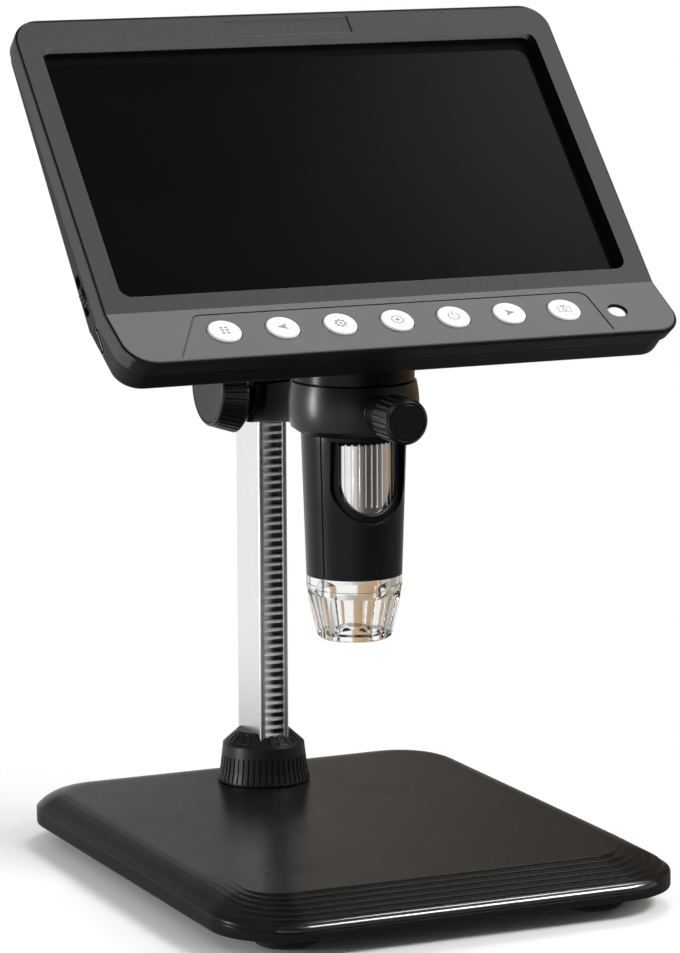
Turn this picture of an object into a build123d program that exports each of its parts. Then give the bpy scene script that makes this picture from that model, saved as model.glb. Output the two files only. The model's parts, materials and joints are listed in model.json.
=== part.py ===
from build123d import *
import os
from math import acos, cos, pi, radians, sin, sqrt, tan

# A hand-operated inspection microscope: a flat stand with a rack column, a
# carriage that a pinion drives up and down it, and a head that joins a tilted
# display to a vertical camera barrel.  Millimetres, +Z up, +Y to the back, X = 0
# the plane of symmetry, origin on the table under the middle of the stand.

os.makedirs("parts", exist_ok=True)

# ---------------------------------------------------------------- fits
running_gap = 0.08        # radial, a turning or sliding pair
body_gap = 0.4            # between pieces that move past each other
pocket_gap = 0.3          # round a piece that is laid in a pocket
overcut = 1.0             # how far a cutter runs past the surface that it opens

# ---------------------------------------------------------------- stand
base_width = 140.4
base_depth = 174.0
base_corner = 21.5
base_underside = 5.5
base_rim = 4.9
crown_height = 4.4
crown_width = 6.0
crown_round = 8.0
terrace_count = 6
terrace_start = 2.5       # from the front edge to the first riser
terrace_width = 3.0
terrace_corner_step = 2.3
terrace_clear = 0.3       # how far a terrace's ends lie outside the crown's slope
cover_wall = 2.5
hollow_inset = 14.0       # from the cover's edge to the hollow under its top
foot_boss_radius = 5.0
column_boss_radius = 13.0
plate_thickness = 2.2
foot_radius = 10.0
foot_taper = 1.0
foot_inset = (23.4, 21.5)
foot_screw_radius = 1.4
foot_screw_head = 3.0
foot_screw_head_height = 1.6
foot_screw_chamfer = 0.6
foot_screw_seat = 2.6
foot_screw_bite = 1.6

column_width = 9.35
column_depth = 17.2
column_inset = 27.8       # from the base's back edge to the column's axis
column_top = 182.0
column_edge = 0.5
channel_width = 6.2
channel_depth = 5.5
cap_thickness = 2.0
cap_plug_length = 5.0
column_bore = 2.2
bolt_head_radius = 4.0
bolt_head_height = 1.9
bolt_bite = 12.0

rack_width = 6.0
rack_recess = 1.7
gear_module = 0.8
pinion_teeth = 14
pressure_angle = 20.0
tooth_thinning = 0.15     # taken off each tooth's thickness, for backlash
rack_addendum = 0.8       # in modules: short enough not to foul the pinion's root
tooth_root_depth = 1.25   # in modules
pinion_root_depth = 1.05  # in modules

socket_floor = 2.0
socket_radius = 11.2
nut_base_radius = 14.0
nut_shoulder_radius = 12.4
nut_lip_height = 0.5
nut_flare_radius = 13.3
nut_flare_height = 3.4
nut_height = 15.7
nut_cone_rise = 4.0
nut_cone_top_radius = 8.0
nut_flutes = 46
nut_flute_width = 0.7
nut_flute_depth = 0.35
nut_flute_end = 3.4       # below the shoulder
rib_width = 0.9
rib_depth = 0.35
rib_end = 0.6
socket_ribs = 24

# ---------------------------------------------------------------- carriage
barrel_y = -8.0
sleeve_half_width = 10.5
sleeve_front_reach = 6.8  # in front of the column
sleeve_back_wall = 3.6
sleeve_bottom = 127.5
sleeve_top = 151.0
sleeve_corner = 2.0
liner_thickness = 0.5
liner_slot = 6.4
pinion_z = 138.8
pinion_width = 5.0
shaft_radius = 2.3
boss_radius = 9.0
left_bush_radius = 7.0
right_bush_radius = 4.4
ring_radius = 18.9
ring_bulge = 0.8
ring_bottom = 131.5
ring_top = 146.4
ring_chamfer = (2.6, 1.8)
arm_half_width = 9.5
arm_root = 14.0           # from the barrel's axis
arm_inset = 1.3           # how far the arm stays inside the ring's height
arm_back_top = 138.1      # where the arm's top meets the sleeve

knob_face_x = -22.5
knob_face_radius = 12.0
knob_edge = 0.4
knob_rim_radius = 14.3
knob_length = 7.6
knob_back_chamfer = 2.8
knob_cap_radius = 11.1
knob_cap_depth = 1.2
knob_cap_edge = 0.35
knob_knurls = 40
knob_knurl_depth = 0.45
knob_knurl_width = 0.9
knob_knurl_margin = 0.6
hub_radius = 6.2
clip_radius = 4.2
clip_thickness = 0.8
shaft_end = 2.2           # how far the shaft stands out of the right bush

clamp_knob_radius = 6.6
clamp_knob_length = 11.6
clamp_knob_back = 24.8    # in front of the barrel's axis
clamp_knob_shoulder = 1.6
clamp_knob_edge = 0.9
clamp_knob_wall = 3.0
clamp_knurls = 22
clamp_knurl_depth = 0.55
clamp_knurl_width = 0.95
clamp_groove_radius = 5.2
clamp_groove_depth = 0.5
clamp_boss_radius = 5.0
clamp_boss_reach = 23.6
clamp_stud_radius = 2.0
clamp_stud_chamfer = 0.5
insert_radius = 3.2

# ---------------------------------------------------------------- barrel
shell_bottom = 90.0
shell_bottom_radius = 13.87
shell_top_radius = 15.2
taper_top = 130.0
shell_bore = 12.4
upper_bore = 11.0
shoulder_z = 131.0
shell_roof = 3.0
cable_hole = 6.0
window_half_width = 9.2
window_bottom = 108.8
window_top = 130.4
scoop_half_width = 11.6
scoop_bottom = 106.4
scoop_floor = 13.4
seam_angles = (63.0, 117.0, 243.0, 297.0)
seam_width = 0.5
seam_depth = 0.3

wheel_radius = 12.0
wheel_bottom = 106.6
wheel_land = 1.5
wheel_recess = 9.4
wheel_flutes = 40
wheel_flute_width = 0.55
wheel_flute_depth = 0.3
wheel_flute_bottom = 111.0
wheel_edge = 0.5
guide_radius = 8.0
guide_bore = 7.1
guide_bottom = 93.6
guide_flange = 1.2
retainer_thickness = 1.2
lens_bottom = 96.0
lens_length = 16.4
lens_wall = 1.1
lens_seat = 3.0           # from the cell's mouth to the lip that the objective lies against
lens_lip = 0.8
objective_bulge = 0.9
relay_thickness = 2.4
relay_hollow = 0.6
cam_pin_radius = 0.8
cam_pin_reach = 9.0
cam_pin_gap = 0.4
cam_pin_inset = 1.4       # from the cell's top
lens_travel_down = 2.0
lens_travel_up = 12.0

nose_bottom = 71.4
nose_bottom_radius = 9.9
nose_mouth = 7.6
nose_lip = 1.2
nose_round = (10.7, 71.95)
nose_top_radius = 13.87
nose_ledge_z = 86.6
nose_ledge = 0.2
nose_web = 2.0
nose_waist_z = 73.0
nose_waist_radius = 11.15
nose_bulge = 0.3
nose_wall = 1.5
nose_facets = 6
nose_facet_depth = (1.35, 1.6)   # at the waist, and at the top
nose_facet_top = 86.2
nose_facet_slope = 2.0
spigot_radius = 12.3
spigot_top = 95.0
led_board_thickness = 1.2
led_count = 8
led_circle = 9.5
led_size = 2.0
led_height = 0.9

sensor_mount_height = 3.0
sensor_board_radius = 10.6
sensor_board_thickness = 1.2
sensor_size = 8.0
sensor_thickness = 1.2
socket_height = 1.2
socket_depth = 3.0

# ---------------------------------------------------------------- head
crease_y = -30.5
crease_z = 172.5
display_tilt = 46.84
chin_bend = 18.07
face_width = 170.5
face_height = 104.8       # crease to top edge, along the face
chin_length = 24.0
face_corner = 8.5
face_edge = 0.9
bezel_depth = 6.3
case_wall = 2.0
shell_inset = 1.0
shell_corner = 7.5
side_wall = 2.4
head_depth_top = 10.5
head_depth_low = 16.0
head_low_u = 5.0          # where the back bends into the underside
heel_u = -20.0
heel_depth = 8.6
shell_edge = 2.2

screen_side_margin = 6.75
screen_top_margin = 10.74
screen_bottom = 5.36
screen_corner = 3.6
screen_recess = 4.13
screen_rim = 1.6
panel_margin = 3.2
glass_thickness = 1.2
backlight_thickness = 2.4
plate_width = 40.0
plate_height = 6.1
plate_inset = 5.4         # from the face's top edge to the middle of the name plate
plate_depth = 0.4
panel_line_width = 0.5
panel_line_depth = 0.3
panel_line_top = 2.9
panel_line_round = 3.0
panel_line_left = (-59.8, -69.9)     # where the line turns down, and where it ends
panel_line_right = (61.0, 62.4)
panel_line_end = 2.6                 # from the chin's lower edge

button_names = ("menu", "left", "settings", "ok", "power", "right", "camera")
button_pitch = 17.45
button_row_x = -1.3
button_row_down = 11.2
button_radius = 4.85
button_hole_gap = 0.25
button_proud = 0.6
button_edge = 0.35
button_flange = 0.7
button_flange_height = 0.9
button_stem_radius = 1.5
button_travel = 0.5
button_lift = 0.25        # from the flange's back to the stem's end
switch_gap = 0.3
switch_size = 4.2
switch_height = 1.0
board_thickness = 1.0
lens_x = 67.6
lens_down = 12.65
lens_radius = 3.0
lens_recess = 0.6
lens_dome = 0.4
lens_flange = 0.6
lens_flange_height = 0.8

dial_radius = 7.5
dial_thickness = 2.4
dial_u = 15.0
dial_depth = 11.5
dial_proud = 0.6
dial_pin_radius = 1.2
dial_pin_head = 2.1
dial_pin_head_height = 0.6
dial_knurls = 36
dial_knurl_width = 0.6
dial_knurl_depth = 0.35
dial_boss_wall = 1.0
port_u = -1.5
port_depth = 10.2
port_height = 9.0
port_thickness = 3.2
port_length = 7.5
port_gap = 0.15
port_shell = 0.35
port_tongue = (6.7, 0.7)
port_floor = 1.5
card_u = 9.0
card_width = 14.0
card_thickness = 1.9
card_length = 14.5
card_side_wall = 1.3
card_lid = 0.45

post_radius = 2.4
upper_posts = (62.0, 4.6)   # from the middle, and from the face's top edge
lower_posts = (7.75, -13.0)   # from the face's side edge, and from its crease
case_screw_radius = 0.9
case_screw_head = 1.8
case_screw_seat = 9.2
case_screw_head_height = 1.0
case_screw_tip = 3.2

neck_radius = 17.6
neck_gap = 0.4
neck_floor = 3.0
neck_bore = 14.6
neck_bolt_x = 12.4
neck_bolt_radius = 0.9
neck_bolt_head = 1.8
neck_boss_radius = 2.6
neck_boss_length = 9.0
neck_boss_floor = 1.0
neck_screw_count = 3
neck_screw_circle = 11.0
neck_screw_radius = 0.9
neck_screw_head = 1.8
neck_screw_head_height = 1.2
cable_width = 8.0
cable_thickness = 0.3
cable_bend = 1.4
cable_slot = (10.0, 8.0)

board_left = -12.0
board_right = 66.0
board_low = 24.0
board_high = 52.0
board_depth = 9.0
standoff_radius = 1.8
standoff_inset = 3.0
chip_height = 0.9
battery_width = 56.0
battery_height = 32.0
battery_thickness = 3.2
battery_edge = 1.2
battery_centre = (-43.0, 42.0)
connector_u = 31.0
connector_depth = 3.0
connector_height = 2.3
board_reach = (-62.0, 72.0)   # the button board's ends
board_span = 12.6
board_centre_down = 11.3

chips = ((20.0, 0.0, 12.0), (38.0, 3.0, 8.0), (52.0, -4.0, 6.0))   # x, height, size
led_chip = (2.0, 0.8)

# ---------------------------------------------------------------- worked out
column_y = base_depth / 2 - column_inset
terrace_base = base_underside + base_rim
base_top = terrace_base + crown_height
terrace_drop = crown_height / terrace_count
plate_top = base_underside + plate_thickness
column_foot = base_top + socket_floor
column_front = column_y - column_depth / 2
cone_slope = (nut_shoulder_radius - nut_cone_top_radius) / nut_cone_rise
nut_shoulder_z = base_top + nut_height - nut_cone_rise

tooth_pitch = pi * gear_module
pitch_radius = gear_module * pinion_teeth / 2
rack_tip_y = column_front + rack_recess
rack_pitch_y = rack_tip_y + rack_addendum * gear_module
rack_root_y = rack_pitch_y + tooth_root_depth * gear_module
rack_back_y = column_front + channel_depth
pinion_y = rack_pitch_y - pitch_radius

sleeve_front = column_front - sleeve_front_reach
column_clear = running_gap + liner_thickness
bush_inner_x = column_width / 2 + column_clear
sleeve_back = column_y + column_depth / 2 + column_clear + sleeve_back_wall
ring_middle = (ring_bottom + ring_top) / 2
ring_bore = shell_top_radius + running_gap
shell_top = ring_top + neck_gap
wheel_top = shoulder_z - guide_flange - body_gap
lens_radius_outer = guide_bore - running_gap
cam_pin_z = lens_bottom + lens_length - cam_pin_inset
wheel_recess_bottom = wheel_bottom + wheel_land
wheel_recess_top = cam_pin_z + lens_travel_up + cam_pin_radius + cam_pin_gap

glass_back = screen_recess + glass_thickness
backlight_back = glass_back + backlight_thickness
screen_width = face_width - 2 * screen_side_margin
screen_height = face_height - screen_bottom - screen_top_margin
screen_middle = screen_bottom + screen_height / 2
plate_centre = face_height - plate_inset
post_places = [
    (side * across, height)
    for across, height in (
        (upper_posts[0], face_height - upper_posts[1]),
        (face_width / 2 - lower_posts[0], lower_posts[1]),
    )
    for side in (-1, 1)
]
button_places = [
    button_row_x + (i - (len(button_names) - 1) / 2) * button_pitch for i in range(len(button_names))
]
flange_top = case_wall + body_gap / 2
stem_bottom = flange_top + button_flange_height + button_lift
switch_top = stem_bottom + button_travel + switch_gap
board_top = switch_top + switch_height

# ---------------------------------------------------------------- frames
ground = Plane.XY
barrel = Plane((0, barrel_y, 0))
post = Plane((0, column_y, 0))
pinion_frame = Plane(origin=(0, pinion_y, pinion_z), x_dir=(0, 1, 0), z_dir=(-1, 0, 0))
clamp_frame = Plane(origin=(0, barrel_y, ring_middle), x_dir=(1, 0, 0), z_dir=(0, -1, 0))
face = Plane((0, crease_y, crease_z)).rotated((display_tilt, 0, 0))
chin = Plane((0, crease_y, crease_z)).rotated((display_tilt - chin_bend, 0, 0))
side = Plane(origin=(0, crease_y, crease_z), x_dir=face.y_dir, z_dir=(1, 0, 0))
up_face = Axis(face.origin, face.y_dir)


def section_of(frame):
    """The plane through a frame's axis: across is the radius, up is along the axis."""
    return Plane(origin=frame.origin, x_dir=frame.x_dir, z_dir=frame.x_dir.cross(frame.z_dir))


def turned(frame, *points):
    """A turned solid, from its outline in radius and length along the frame's axis."""
    with BuildPart() as body:
        with BuildSketch(section_of(frame)):
            with BuildLine():
                Polyline(*points, close=True)
            make_face()
        revolve(axis=Axis(frame.origin, frame.z_dir))
    return body.part


def groove(width, *points):
    """A cutter as wide as a groove, from its outline in radius and height, at angle 0."""
    with BuildPart() as body:
        with BuildSketch(Plane.XZ):
            with BuildLine():
                Polyline(*points, close=True)
            make_face()
        extrude(amount=width / 2, both=True)
    return body.part


def prism(plane, half_length, *points):
    """A bar with a straight-sided outline, centred on its plane."""
    with BuildPart() as body:
        with BuildSketch(plane):
            with BuildLine():
                Polyline(*points, close=True)
            make_face()
        extrude(amount=half_length, both=True)
    return body.part


def block(plane, x, y, z, size_x, size_y, size_z):
    """A block in a frame, from its middle across and its lowest Z."""
    with BuildPart() as body:
        with BuildSketch(plane.offset(z)):
            with Locations((x, y)):
                Rectangle(size_x, size_y)
        extrude(amount=size_z)
    return body.part


def rod(plane, x, y, z, radius, length):
    """A round rod in a frame, from its lowest Z."""
    with BuildPart() as body:
        with BuildSketch(plane.offset(z)):
            with Locations((x, y)):
                Circle(radius)
        extrude(amount=length)
    return body.part


def keep(piece, name):
    """Name a finished piece and write it."""
    piece.part.label = name
    export_step(piece.part, f"parts/{name}.step")


# ================================================================ stand
# The cover has a bevelled crown that steps down to the front in terraces.  The corners of
# the terraces close in on the crown's slope, so that the risers fade out along the sides.
with BuildPart() as base_cover:
    with BuildSketch(ground.offset(base_underside)):
        RectangleRounded(base_width, base_depth, base_corner)
    extrude(amount=base_rim + crown_height)
    crown = base_cover.faces().sort_by(Axis.Z)[-1]
    chamfer(crown.edges(), crown_width, crown_height, reference=crown)
    fillet(base_cover.faces().sort_by(Axis.Z)[-1].edges(), crown_round)
    for step in range(terrace_count):
        tread = terrace_base + step * terrace_drop
        reach = terrace_start + step * terrace_width
        inset = step * crown_width / terrace_count - terrace_clear
        with BuildSketch(mode=Mode.PRIVATE) as upper:
            with Locations((0, reach / 2 + overcut)):
                Rectangle(base_width - 2 * inset, base_depth - reach + 2 * overcut)
            fillet(
                upper.vertices().group_by(Axis.Y)[0], base_corner - step * terrace_corner_step
            )
        with BuildSketch(ground.offset(tread)):
            Rectangle(base_width + 2 * overcut, base_depth + 2 * overcut)
            add(upper.sketch, mode=Mode.SUBTRACT)
        extrude(amount=base_top - tread + overcut, mode=Mode.SUBTRACT)
    with BuildSketch(ground.offset(base_underside)):
        RectangleRounded(
            base_width - 2 * cover_wall, base_depth - 2 * cover_wall, base_corner - cover_wall
        )
    extrude(amount=plate_thickness, mode=Mode.SUBTRACT)
    with BuildSketch(ground.offset(plate_top)):
        Rectangle(base_width - 2 * hollow_inset, base_depth - 2 * hollow_inset)
    extrude(amount=base_top - cover_wall - plate_top, mode=Mode.SUBTRACT)
    foot_places = GridLocations(
        base_width - 2 * foot_inset[0], base_depth - 2 * foot_inset[1], 2, 2
    ).locations
    with BuildSketch(ground.offset(plate_top)):
        with Locations(foot_places):
            Circle(foot_boss_radius)
        with Locations((0, column_y)):
            Circle(column_boss_radius)
    extrude(amount=base_top - cover_wall / 2 - plate_top)
    with BuildSketch(ground.offset(plate_top)):
        with Locations(foot_places):
            Circle(foot_screw_radius)
    extrude(amount=foot_screw_bite, mode=Mode.SUBTRACT)
    add(rod(ground, 0, column_y, plate_top, column_bore, base_top - plate_top), mode=Mode.SUBTRACT)
keep(base_cover, "base_cover")

with BuildPart() as base_plate:
    with BuildSketch(ground.offset(base_underside)):
        RectangleRounded(
            base_width - 2 * (cover_wall + pocket_gap),
            base_depth - 2 * (cover_wall + pocket_gap),
            base_corner - cover_wall - pocket_gap,
        )
        with Locations(foot_places):
            Circle(foot_screw_radius, mode=Mode.SUBTRACT)
        with Locations((0, column_y)):
            Circle(bolt_head_radius + pocket_gap, mode=Mode.SUBTRACT)
    extrude(amount=plate_thickness)
keep(base_plate, "base_plate")

foot = turned(
    ground,
    (foot_screw_radius, foot_screw_seat), (foot_screw_head + pocket_gap, foot_screw_seat),
    (foot_screw_head + pocket_gap, 0), (foot_radius - foot_taper, 0),
    (foot_radius, foot_taper), (foot_radius, base_underside), (foot_screw_radius, base_underside),
)
with BuildPart() as base_feet:
    with Locations(foot_places):
        add(foot)
keep(base_feet, "base_feet")

foot_screw = turned(
    ground,
    (0, foot_screw_seat - foot_screw_head_height),
    (foot_screw_head - foot_screw_chamfer, foot_screw_seat - foot_screw_head_height),
    (foot_screw_head, foot_screw_seat), (foot_screw_radius, foot_screw_seat),
    (foot_screw_radius, plate_top + foot_screw_bite), (0, plate_top + foot_screw_bite),
)
with BuildPart() as base_screws:
    with Locations(foot_places):
        add(foot_screw)
keep(base_screws, "base_screws")

# The column is a bar with a channel down its front that holds the rack.
with BuildPart() as column:
    with BuildSketch(ground.offset(column_foot)):
        with Locations((0, column_y)):
            Rectangle(column_width, column_depth)
            Circle(column_bore, mode=Mode.SUBTRACT)
        with Locations((0, column_front + channel_depth / 2)):
            Rectangle(channel_width, channel_depth, mode=Mode.SUBTRACT)
    extrude(amount=column_top - column_foot)
    corners = column.edges().filter_by(Axis.Z).filter_by(
        lambda edge: abs(abs(edge.center().X) - column_width / 2) < 0.01
    )
    fillet(corners, column_edge)
keep(column, "column")


def tooth_gap_index():
    """Teeth sit half a pitch from the pinion's height, so that a gap faces its first tooth."""
    low = int((column_foot - pinion_z) / tooth_pitch) + 1
    high = int((column_top - pinion_z) / tooth_pitch) - 1
    return range(low, high)


with BuildPart() as rack:
    slant = tan(radians(pressure_angle))
    half_pitch_line = (tooth_pitch / 2 - tooth_thinning) / 2
    half_root = half_pitch_line + (rack_root_y - rack_pitch_y) * slant
    half_tip = half_pitch_line - (rack_pitch_y - rack_tip_y) * slant
    with BuildSketch(mode=Mode.PRIVATE) as rack_tooth:
        with BuildLine():
            Polyline(
                (0, -half_root), (rack_tip_y - rack_root_y, -half_tip),
                (rack_tip_y - rack_root_y, half_tip), (0, half_root), close=True,
            )
        make_face()
    with BuildSketch(Plane.YZ):
        with Locations(((rack_root_y + rack_back_y) / 2, (column_foot + column_top) / 2)):
            Rectangle(rack_back_y - rack_root_y, column_top - column_foot)
        with Locations(
            [(rack_root_y, pinion_z + (i + 0.5) * tooth_pitch) for i in tooth_gap_index()]
        ):
            add(rack_tooth.sketch)
    extrude(amount=rack_width / 2, both=True)
keep(rack, "rack")

with BuildPart() as column_cap:
    add(block(ground, 0, column_y, column_top, column_width, column_depth, cap_thickness))
    chamfer(column_cap.edges().group_by(Axis.Z)[-1], column_edge)
    add(rod(ground, 0, column_y, column_top - cap_plug_length, column_bore, cap_plug_length))
keep(column_cap, "column_cap")

# The socket grips the column's foot; its cone carries on the slope of the lock nut's.
cone_start = nut_shoulder_z + (nut_shoulder_radius - socket_radius) / cone_slope
cone_end = nut_shoulder_z + nut_cone_rise
with BuildPart() as column_socket:
    add(turned(
        post,
        (0, base_top), (socket_radius, base_top), (socket_radius, cone_start),
        (nut_cone_top_radius, cone_end), (0, cone_end),
    ))
    add(
        block(ground, 0, column_y, column_foot, column_width, column_depth, cone_end),
        mode=Mode.SUBTRACT,
    )
    add(rod(ground, 0, column_y, base_top, column_bore, socket_floor), mode=Mode.SUBTRACT)
    rib = groove(
        rib_width,
        (nut_cone_top_radius + rib_end, cone_end - rib_end / cone_slope - rib_depth),
        (socket_radius, cone_start - rib_depth), (socket_radius + overcut, cone_start),
        (nut_cone_top_radius + rib_end, cone_end),
    )
    with Locations((0, column_y)):
        with PolarLocations(0, socket_ribs):
            add(rib, mode=Mode.SUBTRACT)
keep(column_socket, "column_socket")

with BuildPart() as column_bolt:
    add(turned(
        post,
        (0, plate_top - bolt_head_height), (bolt_head_radius, plate_top - bolt_head_height),
        (bolt_head_radius, plate_top), (column_bore, plate_top),
        (column_bore, column_foot + bolt_bite), (0, column_foot + bolt_bite),
    ))
keep(column_bolt, "column_bolt")

nut_bottom = base_top + body_gap
nut_bore = socket_radius + running_gap
nut_top = nut_shoulder_z + (nut_shoulder_radius - nut_bore) / cone_slope
flute_start = nut_bottom + nut_lip_height
flare_z = nut_bottom + nut_flare_height
flute_end = nut_shoulder_z - nut_flute_end
flute_end_radius = nut_shoulder_radius + (nut_flare_radius - nut_shoulder_radius) * (
    nut_flute_end / (nut_shoulder_z - flare_z)
)
with BuildPart() as column_nut:
    add(turned(
        post,
        (nut_bore, nut_bottom), (nut_base_radius, nut_bottom), (nut_base_radius, flute_start),
        (nut_flare_radius, flare_z), (nut_shoulder_radius, nut_shoulder_z), (nut_bore, nut_top),
    ))
    flute = groove(
        nut_flute_width,
        (nut_base_radius - nut_flute_depth, flute_start),
        (nut_base_radius + overcut, flute_start), (nut_base_radius + overcut, flute_end),
        (flute_end_radius - nut_flute_depth, flute_end),
        (nut_flare_radius - nut_flute_depth, flare_z),
    )
    with Locations((0, column_y)):
        with PolarLocations(0, nut_flutes):
            add(flute, mode=Mode.SUBTRACT)
keep(column_nut, "column_nut")

# ================================================================ carriage
sleeve_depth = sleeve_back - sleeve_front
with BuildPart() as carriage_housing:
    with BuildSketch(ground.offset(sleeve_bottom)):
        with Locations((0, (sleeve_front + sleeve_back) / 2)):
            RectangleRounded(2 * sleeve_half_width, sleeve_depth, sleeve_corner)
    extrude(amount=sleeve_top - sleeve_bottom)
    add(rod(
        pinion_frame, 0, 0, -sleeve_half_width, boss_radius, 2 * sleeve_half_width
    ))
    add(prism(
        Plane.YZ, arm_half_width, (barrel_y + arm_root, ring_bottom + arm_inset),
        (barrel_y + arm_root, ring_top - arm_inset), (sleeve_front + overcut, arm_back_top),
        (sleeve_front + overcut, sleeve_bottom),
    ))
    with BuildSketch(section_of(barrel)):
        with BuildLine():
            ring_side = ring_radius - ring_bulge
            ring_corner = (ring_side, ring_bottom + ring_chamfer[1])
            Polyline(
                (ring_side, ring_top), (0, ring_top), (0, ring_bottom),
                (ring_side - ring_chamfer[0], ring_bottom), ring_corner,
            )
            ThreePointArc(ring_corner, (ring_radius, ring_middle), (ring_side, ring_top))
        make_face()
    revolve(axis=Axis(barrel.origin, barrel.z_dir))
    add(rod(clamp_frame, 0, 0, 0, clamp_boss_radius, clamp_boss_reach))
    add(rod(barrel, 0, 0, sleeve_bottom, ring_bore, sleeve_top), mode=Mode.SUBTRACT)
    add(
        block(
            ground, 0, column_y, sleeve_bottom, column_width + 2 * column_clear,
            column_depth + 2 * column_clear, sleeve_top,
        ),
        mode=Mode.SUBTRACT,
    )
    add(
        rod(
            pinion_frame, 0, 0, -bush_inner_x, left_bush_radius,
            sleeve_half_width + bush_inner_x + overcut,
        ),
        mode=Mode.SUBTRACT,
    )
    add(
        rod(
            pinion_frame, 0, 0, -sleeve_half_width - overcut, right_bush_radius,
            sleeve_half_width + overcut,
        ),
        mode=Mode.SUBTRACT,
    )
    add(
        rod(
            clamp_frame, 0, 0, ring_bore - overcut, insert_radius,
            clamp_boss_reach - ring_bore + 2 * overcut,
        ),
        mode=Mode.SUBTRACT,
    )
keep(carriage_housing, "carriage_housing")

with BuildPart() as slide_liner:
    with BuildSketch(ground.offset(sleeve_bottom)):
        with Locations((0, column_y)):
            Rectangle(column_width + 2 * column_clear, column_depth + 2 * column_clear)
            Rectangle(
                column_width + 2 * running_gap, column_depth + 2 * running_gap, mode=Mode.SUBTRACT
            )
        with Locations((0, column_front)):
            Rectangle(liner_slot, 4 * column_clear, mode=Mode.SUBTRACT)
    extrude(amount=sleeve_top - sleeve_bottom)
keep(slide_liner, "slide_liner")

for name, radius, start in (
    ("left_bush", left_bush_radius, bush_inner_x),
    ("right_bush", right_bush_radius, -sleeve_half_width),
):
    with BuildPart() as bush:
        with BuildSketch(pinion_frame.offset(start)):
            Circle(radius)
            Circle(shaft_radius + running_gap / 2, mode=Mode.SUBTRACT)
        extrude(amount=sleeve_half_width - bush_inner_x)
    keep(bush, name)

with BuildPart() as clamp_insert:
    with BuildSketch(clamp_frame.offset(ring_bore + pocket_gap)):
        Circle(insert_radius)
        Circle(clamp_stud_radius + running_gap, mode=Mode.SUBTRACT)
    extrude(amount=clamp_boss_reach - ring_bore - pocket_gap)
keep(clamp_insert, "clamp_insert")


# The pinion's flanks are involutes of its base circle; its first tooth points at the rack.
base_circle = pitch_radius * cos(radians(pressure_angle))
tip_circle = pitch_radius + gear_module
root_circle = pitch_radius - pinion_root_depth * gear_module


def involute(angle):
    return tan(angle) - angle


def flank_angle(radius):
    """Half the angle that a tooth spans at a radius; straight and radial below the base circle."""
    at_pitch = (tooth_pitch / 2 - tooth_thinning) / (2 * pitch_radius)
    local = acos(min(base_circle / radius, 1))
    return at_pitch + involute(radians(pressure_angle)) - involute(local)


def tooth_point(radius, sign):
    angle = sign * flank_angle(radius)
    return (radius * cos(angle), radius * sin(angle))


flank_radii = [
    root_circle - running_gap, base_circle, (base_circle + pitch_radius) / 2,
    (2 * pitch_radius + tip_circle) / 3, tip_circle,
]
knob_back_x = knob_face_x + knob_length + knob_back_chamfer
with BuildPart() as pinion_shaft:
    with BuildSketch(mode=Mode.PRIVATE) as pinion_tooth:
        with BuildLine():
            Polyline(
                *[tooth_point(radius, -1) for radius in flank_radii],
                *[tooth_point(radius, 1) for radius in reversed(flank_radii)],
                close=True,
            )
        make_face()
    with BuildSketch(pinion_frame.offset(-pinion_width / 2)):
        Circle(root_circle)
        with PolarLocations(0, pinion_teeth):
            add(pinion_tooth.sketch)
    extrude(amount=pinion_width)
    shaft_start = -(sleeve_half_width + shaft_end)
    shaft_stop = -knob_face_x - knob_cap_depth - body_gap
    add(rod(pinion_frame, 0, 0, shaft_start, shaft_radius, shaft_stop - shaft_start))
keep(pinion_shaft, "pinion_shaft")

# Lengths on the height knob run outwards, from the symmetry plane to its face.
with BuildPart() as height_knob:
    hub_start = sleeve_half_width + body_gap
    rim_start = -knob_back_x
    rim_end = rim_start + knob_back_chamfer
    add(turned(
        pinion_frame,
        (shaft_radius, hub_start), (hub_radius, hub_start), (hub_radius, rim_start),
        (knob_rim_radius - knob_back_chamfer, rim_start), (knob_rim_radius, rim_end),
        (knob_face_radius, -knob_face_x - knob_edge),
        (knob_face_radius - knob_edge, -knob_face_x),
        (knob_cap_radius, -knob_face_x), (knob_cap_radius, -knob_face_x - knob_cap_depth),
        (shaft_radius, -knob_face_x - knob_cap_depth),
    ))
    knurl_start = rim_end + knob_knurl_margin / 2
    knurl_end = -knob_face_x - knob_edge - knob_knurl_margin
    knurl = groove(
        knob_knurl_width, (knob_rim_radius - knob_knurl_depth, knurl_start),
        (knob_rim_radius + overcut, knurl_start), (knob_rim_radius + overcut, knurl_end),
        (knob_face_radius - knob_knurl_depth, knurl_end),
    )
    with Locations(pinion_frame):
        with PolarLocations(0, knob_knurls):
            add(knurl, mode=Mode.SUBTRACT)
keep(height_knob, "height_knob")

with BuildPart() as knob_cap:
    add(rod(pinion_frame, 0, 0, -knob_face_x - knob_cap_depth, knob_cap_radius, knob_cap_depth))
    chamfer(knob_cap.edges().group_by(Axis.X)[0], knob_cap_edge)
keep(knob_cap, "knob_cap")

with BuildPart() as shaft_clip:
    with BuildSketch(pinion_frame.offset(-sleeve_half_width - body_gap - clip_thickness)):
        Circle(clip_radius)
        Circle(shaft_radius, mode=Mode.SUBTRACT)
    extrude(amount=clip_thickness)
keep(shaft_clip, "shaft_clip")

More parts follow.
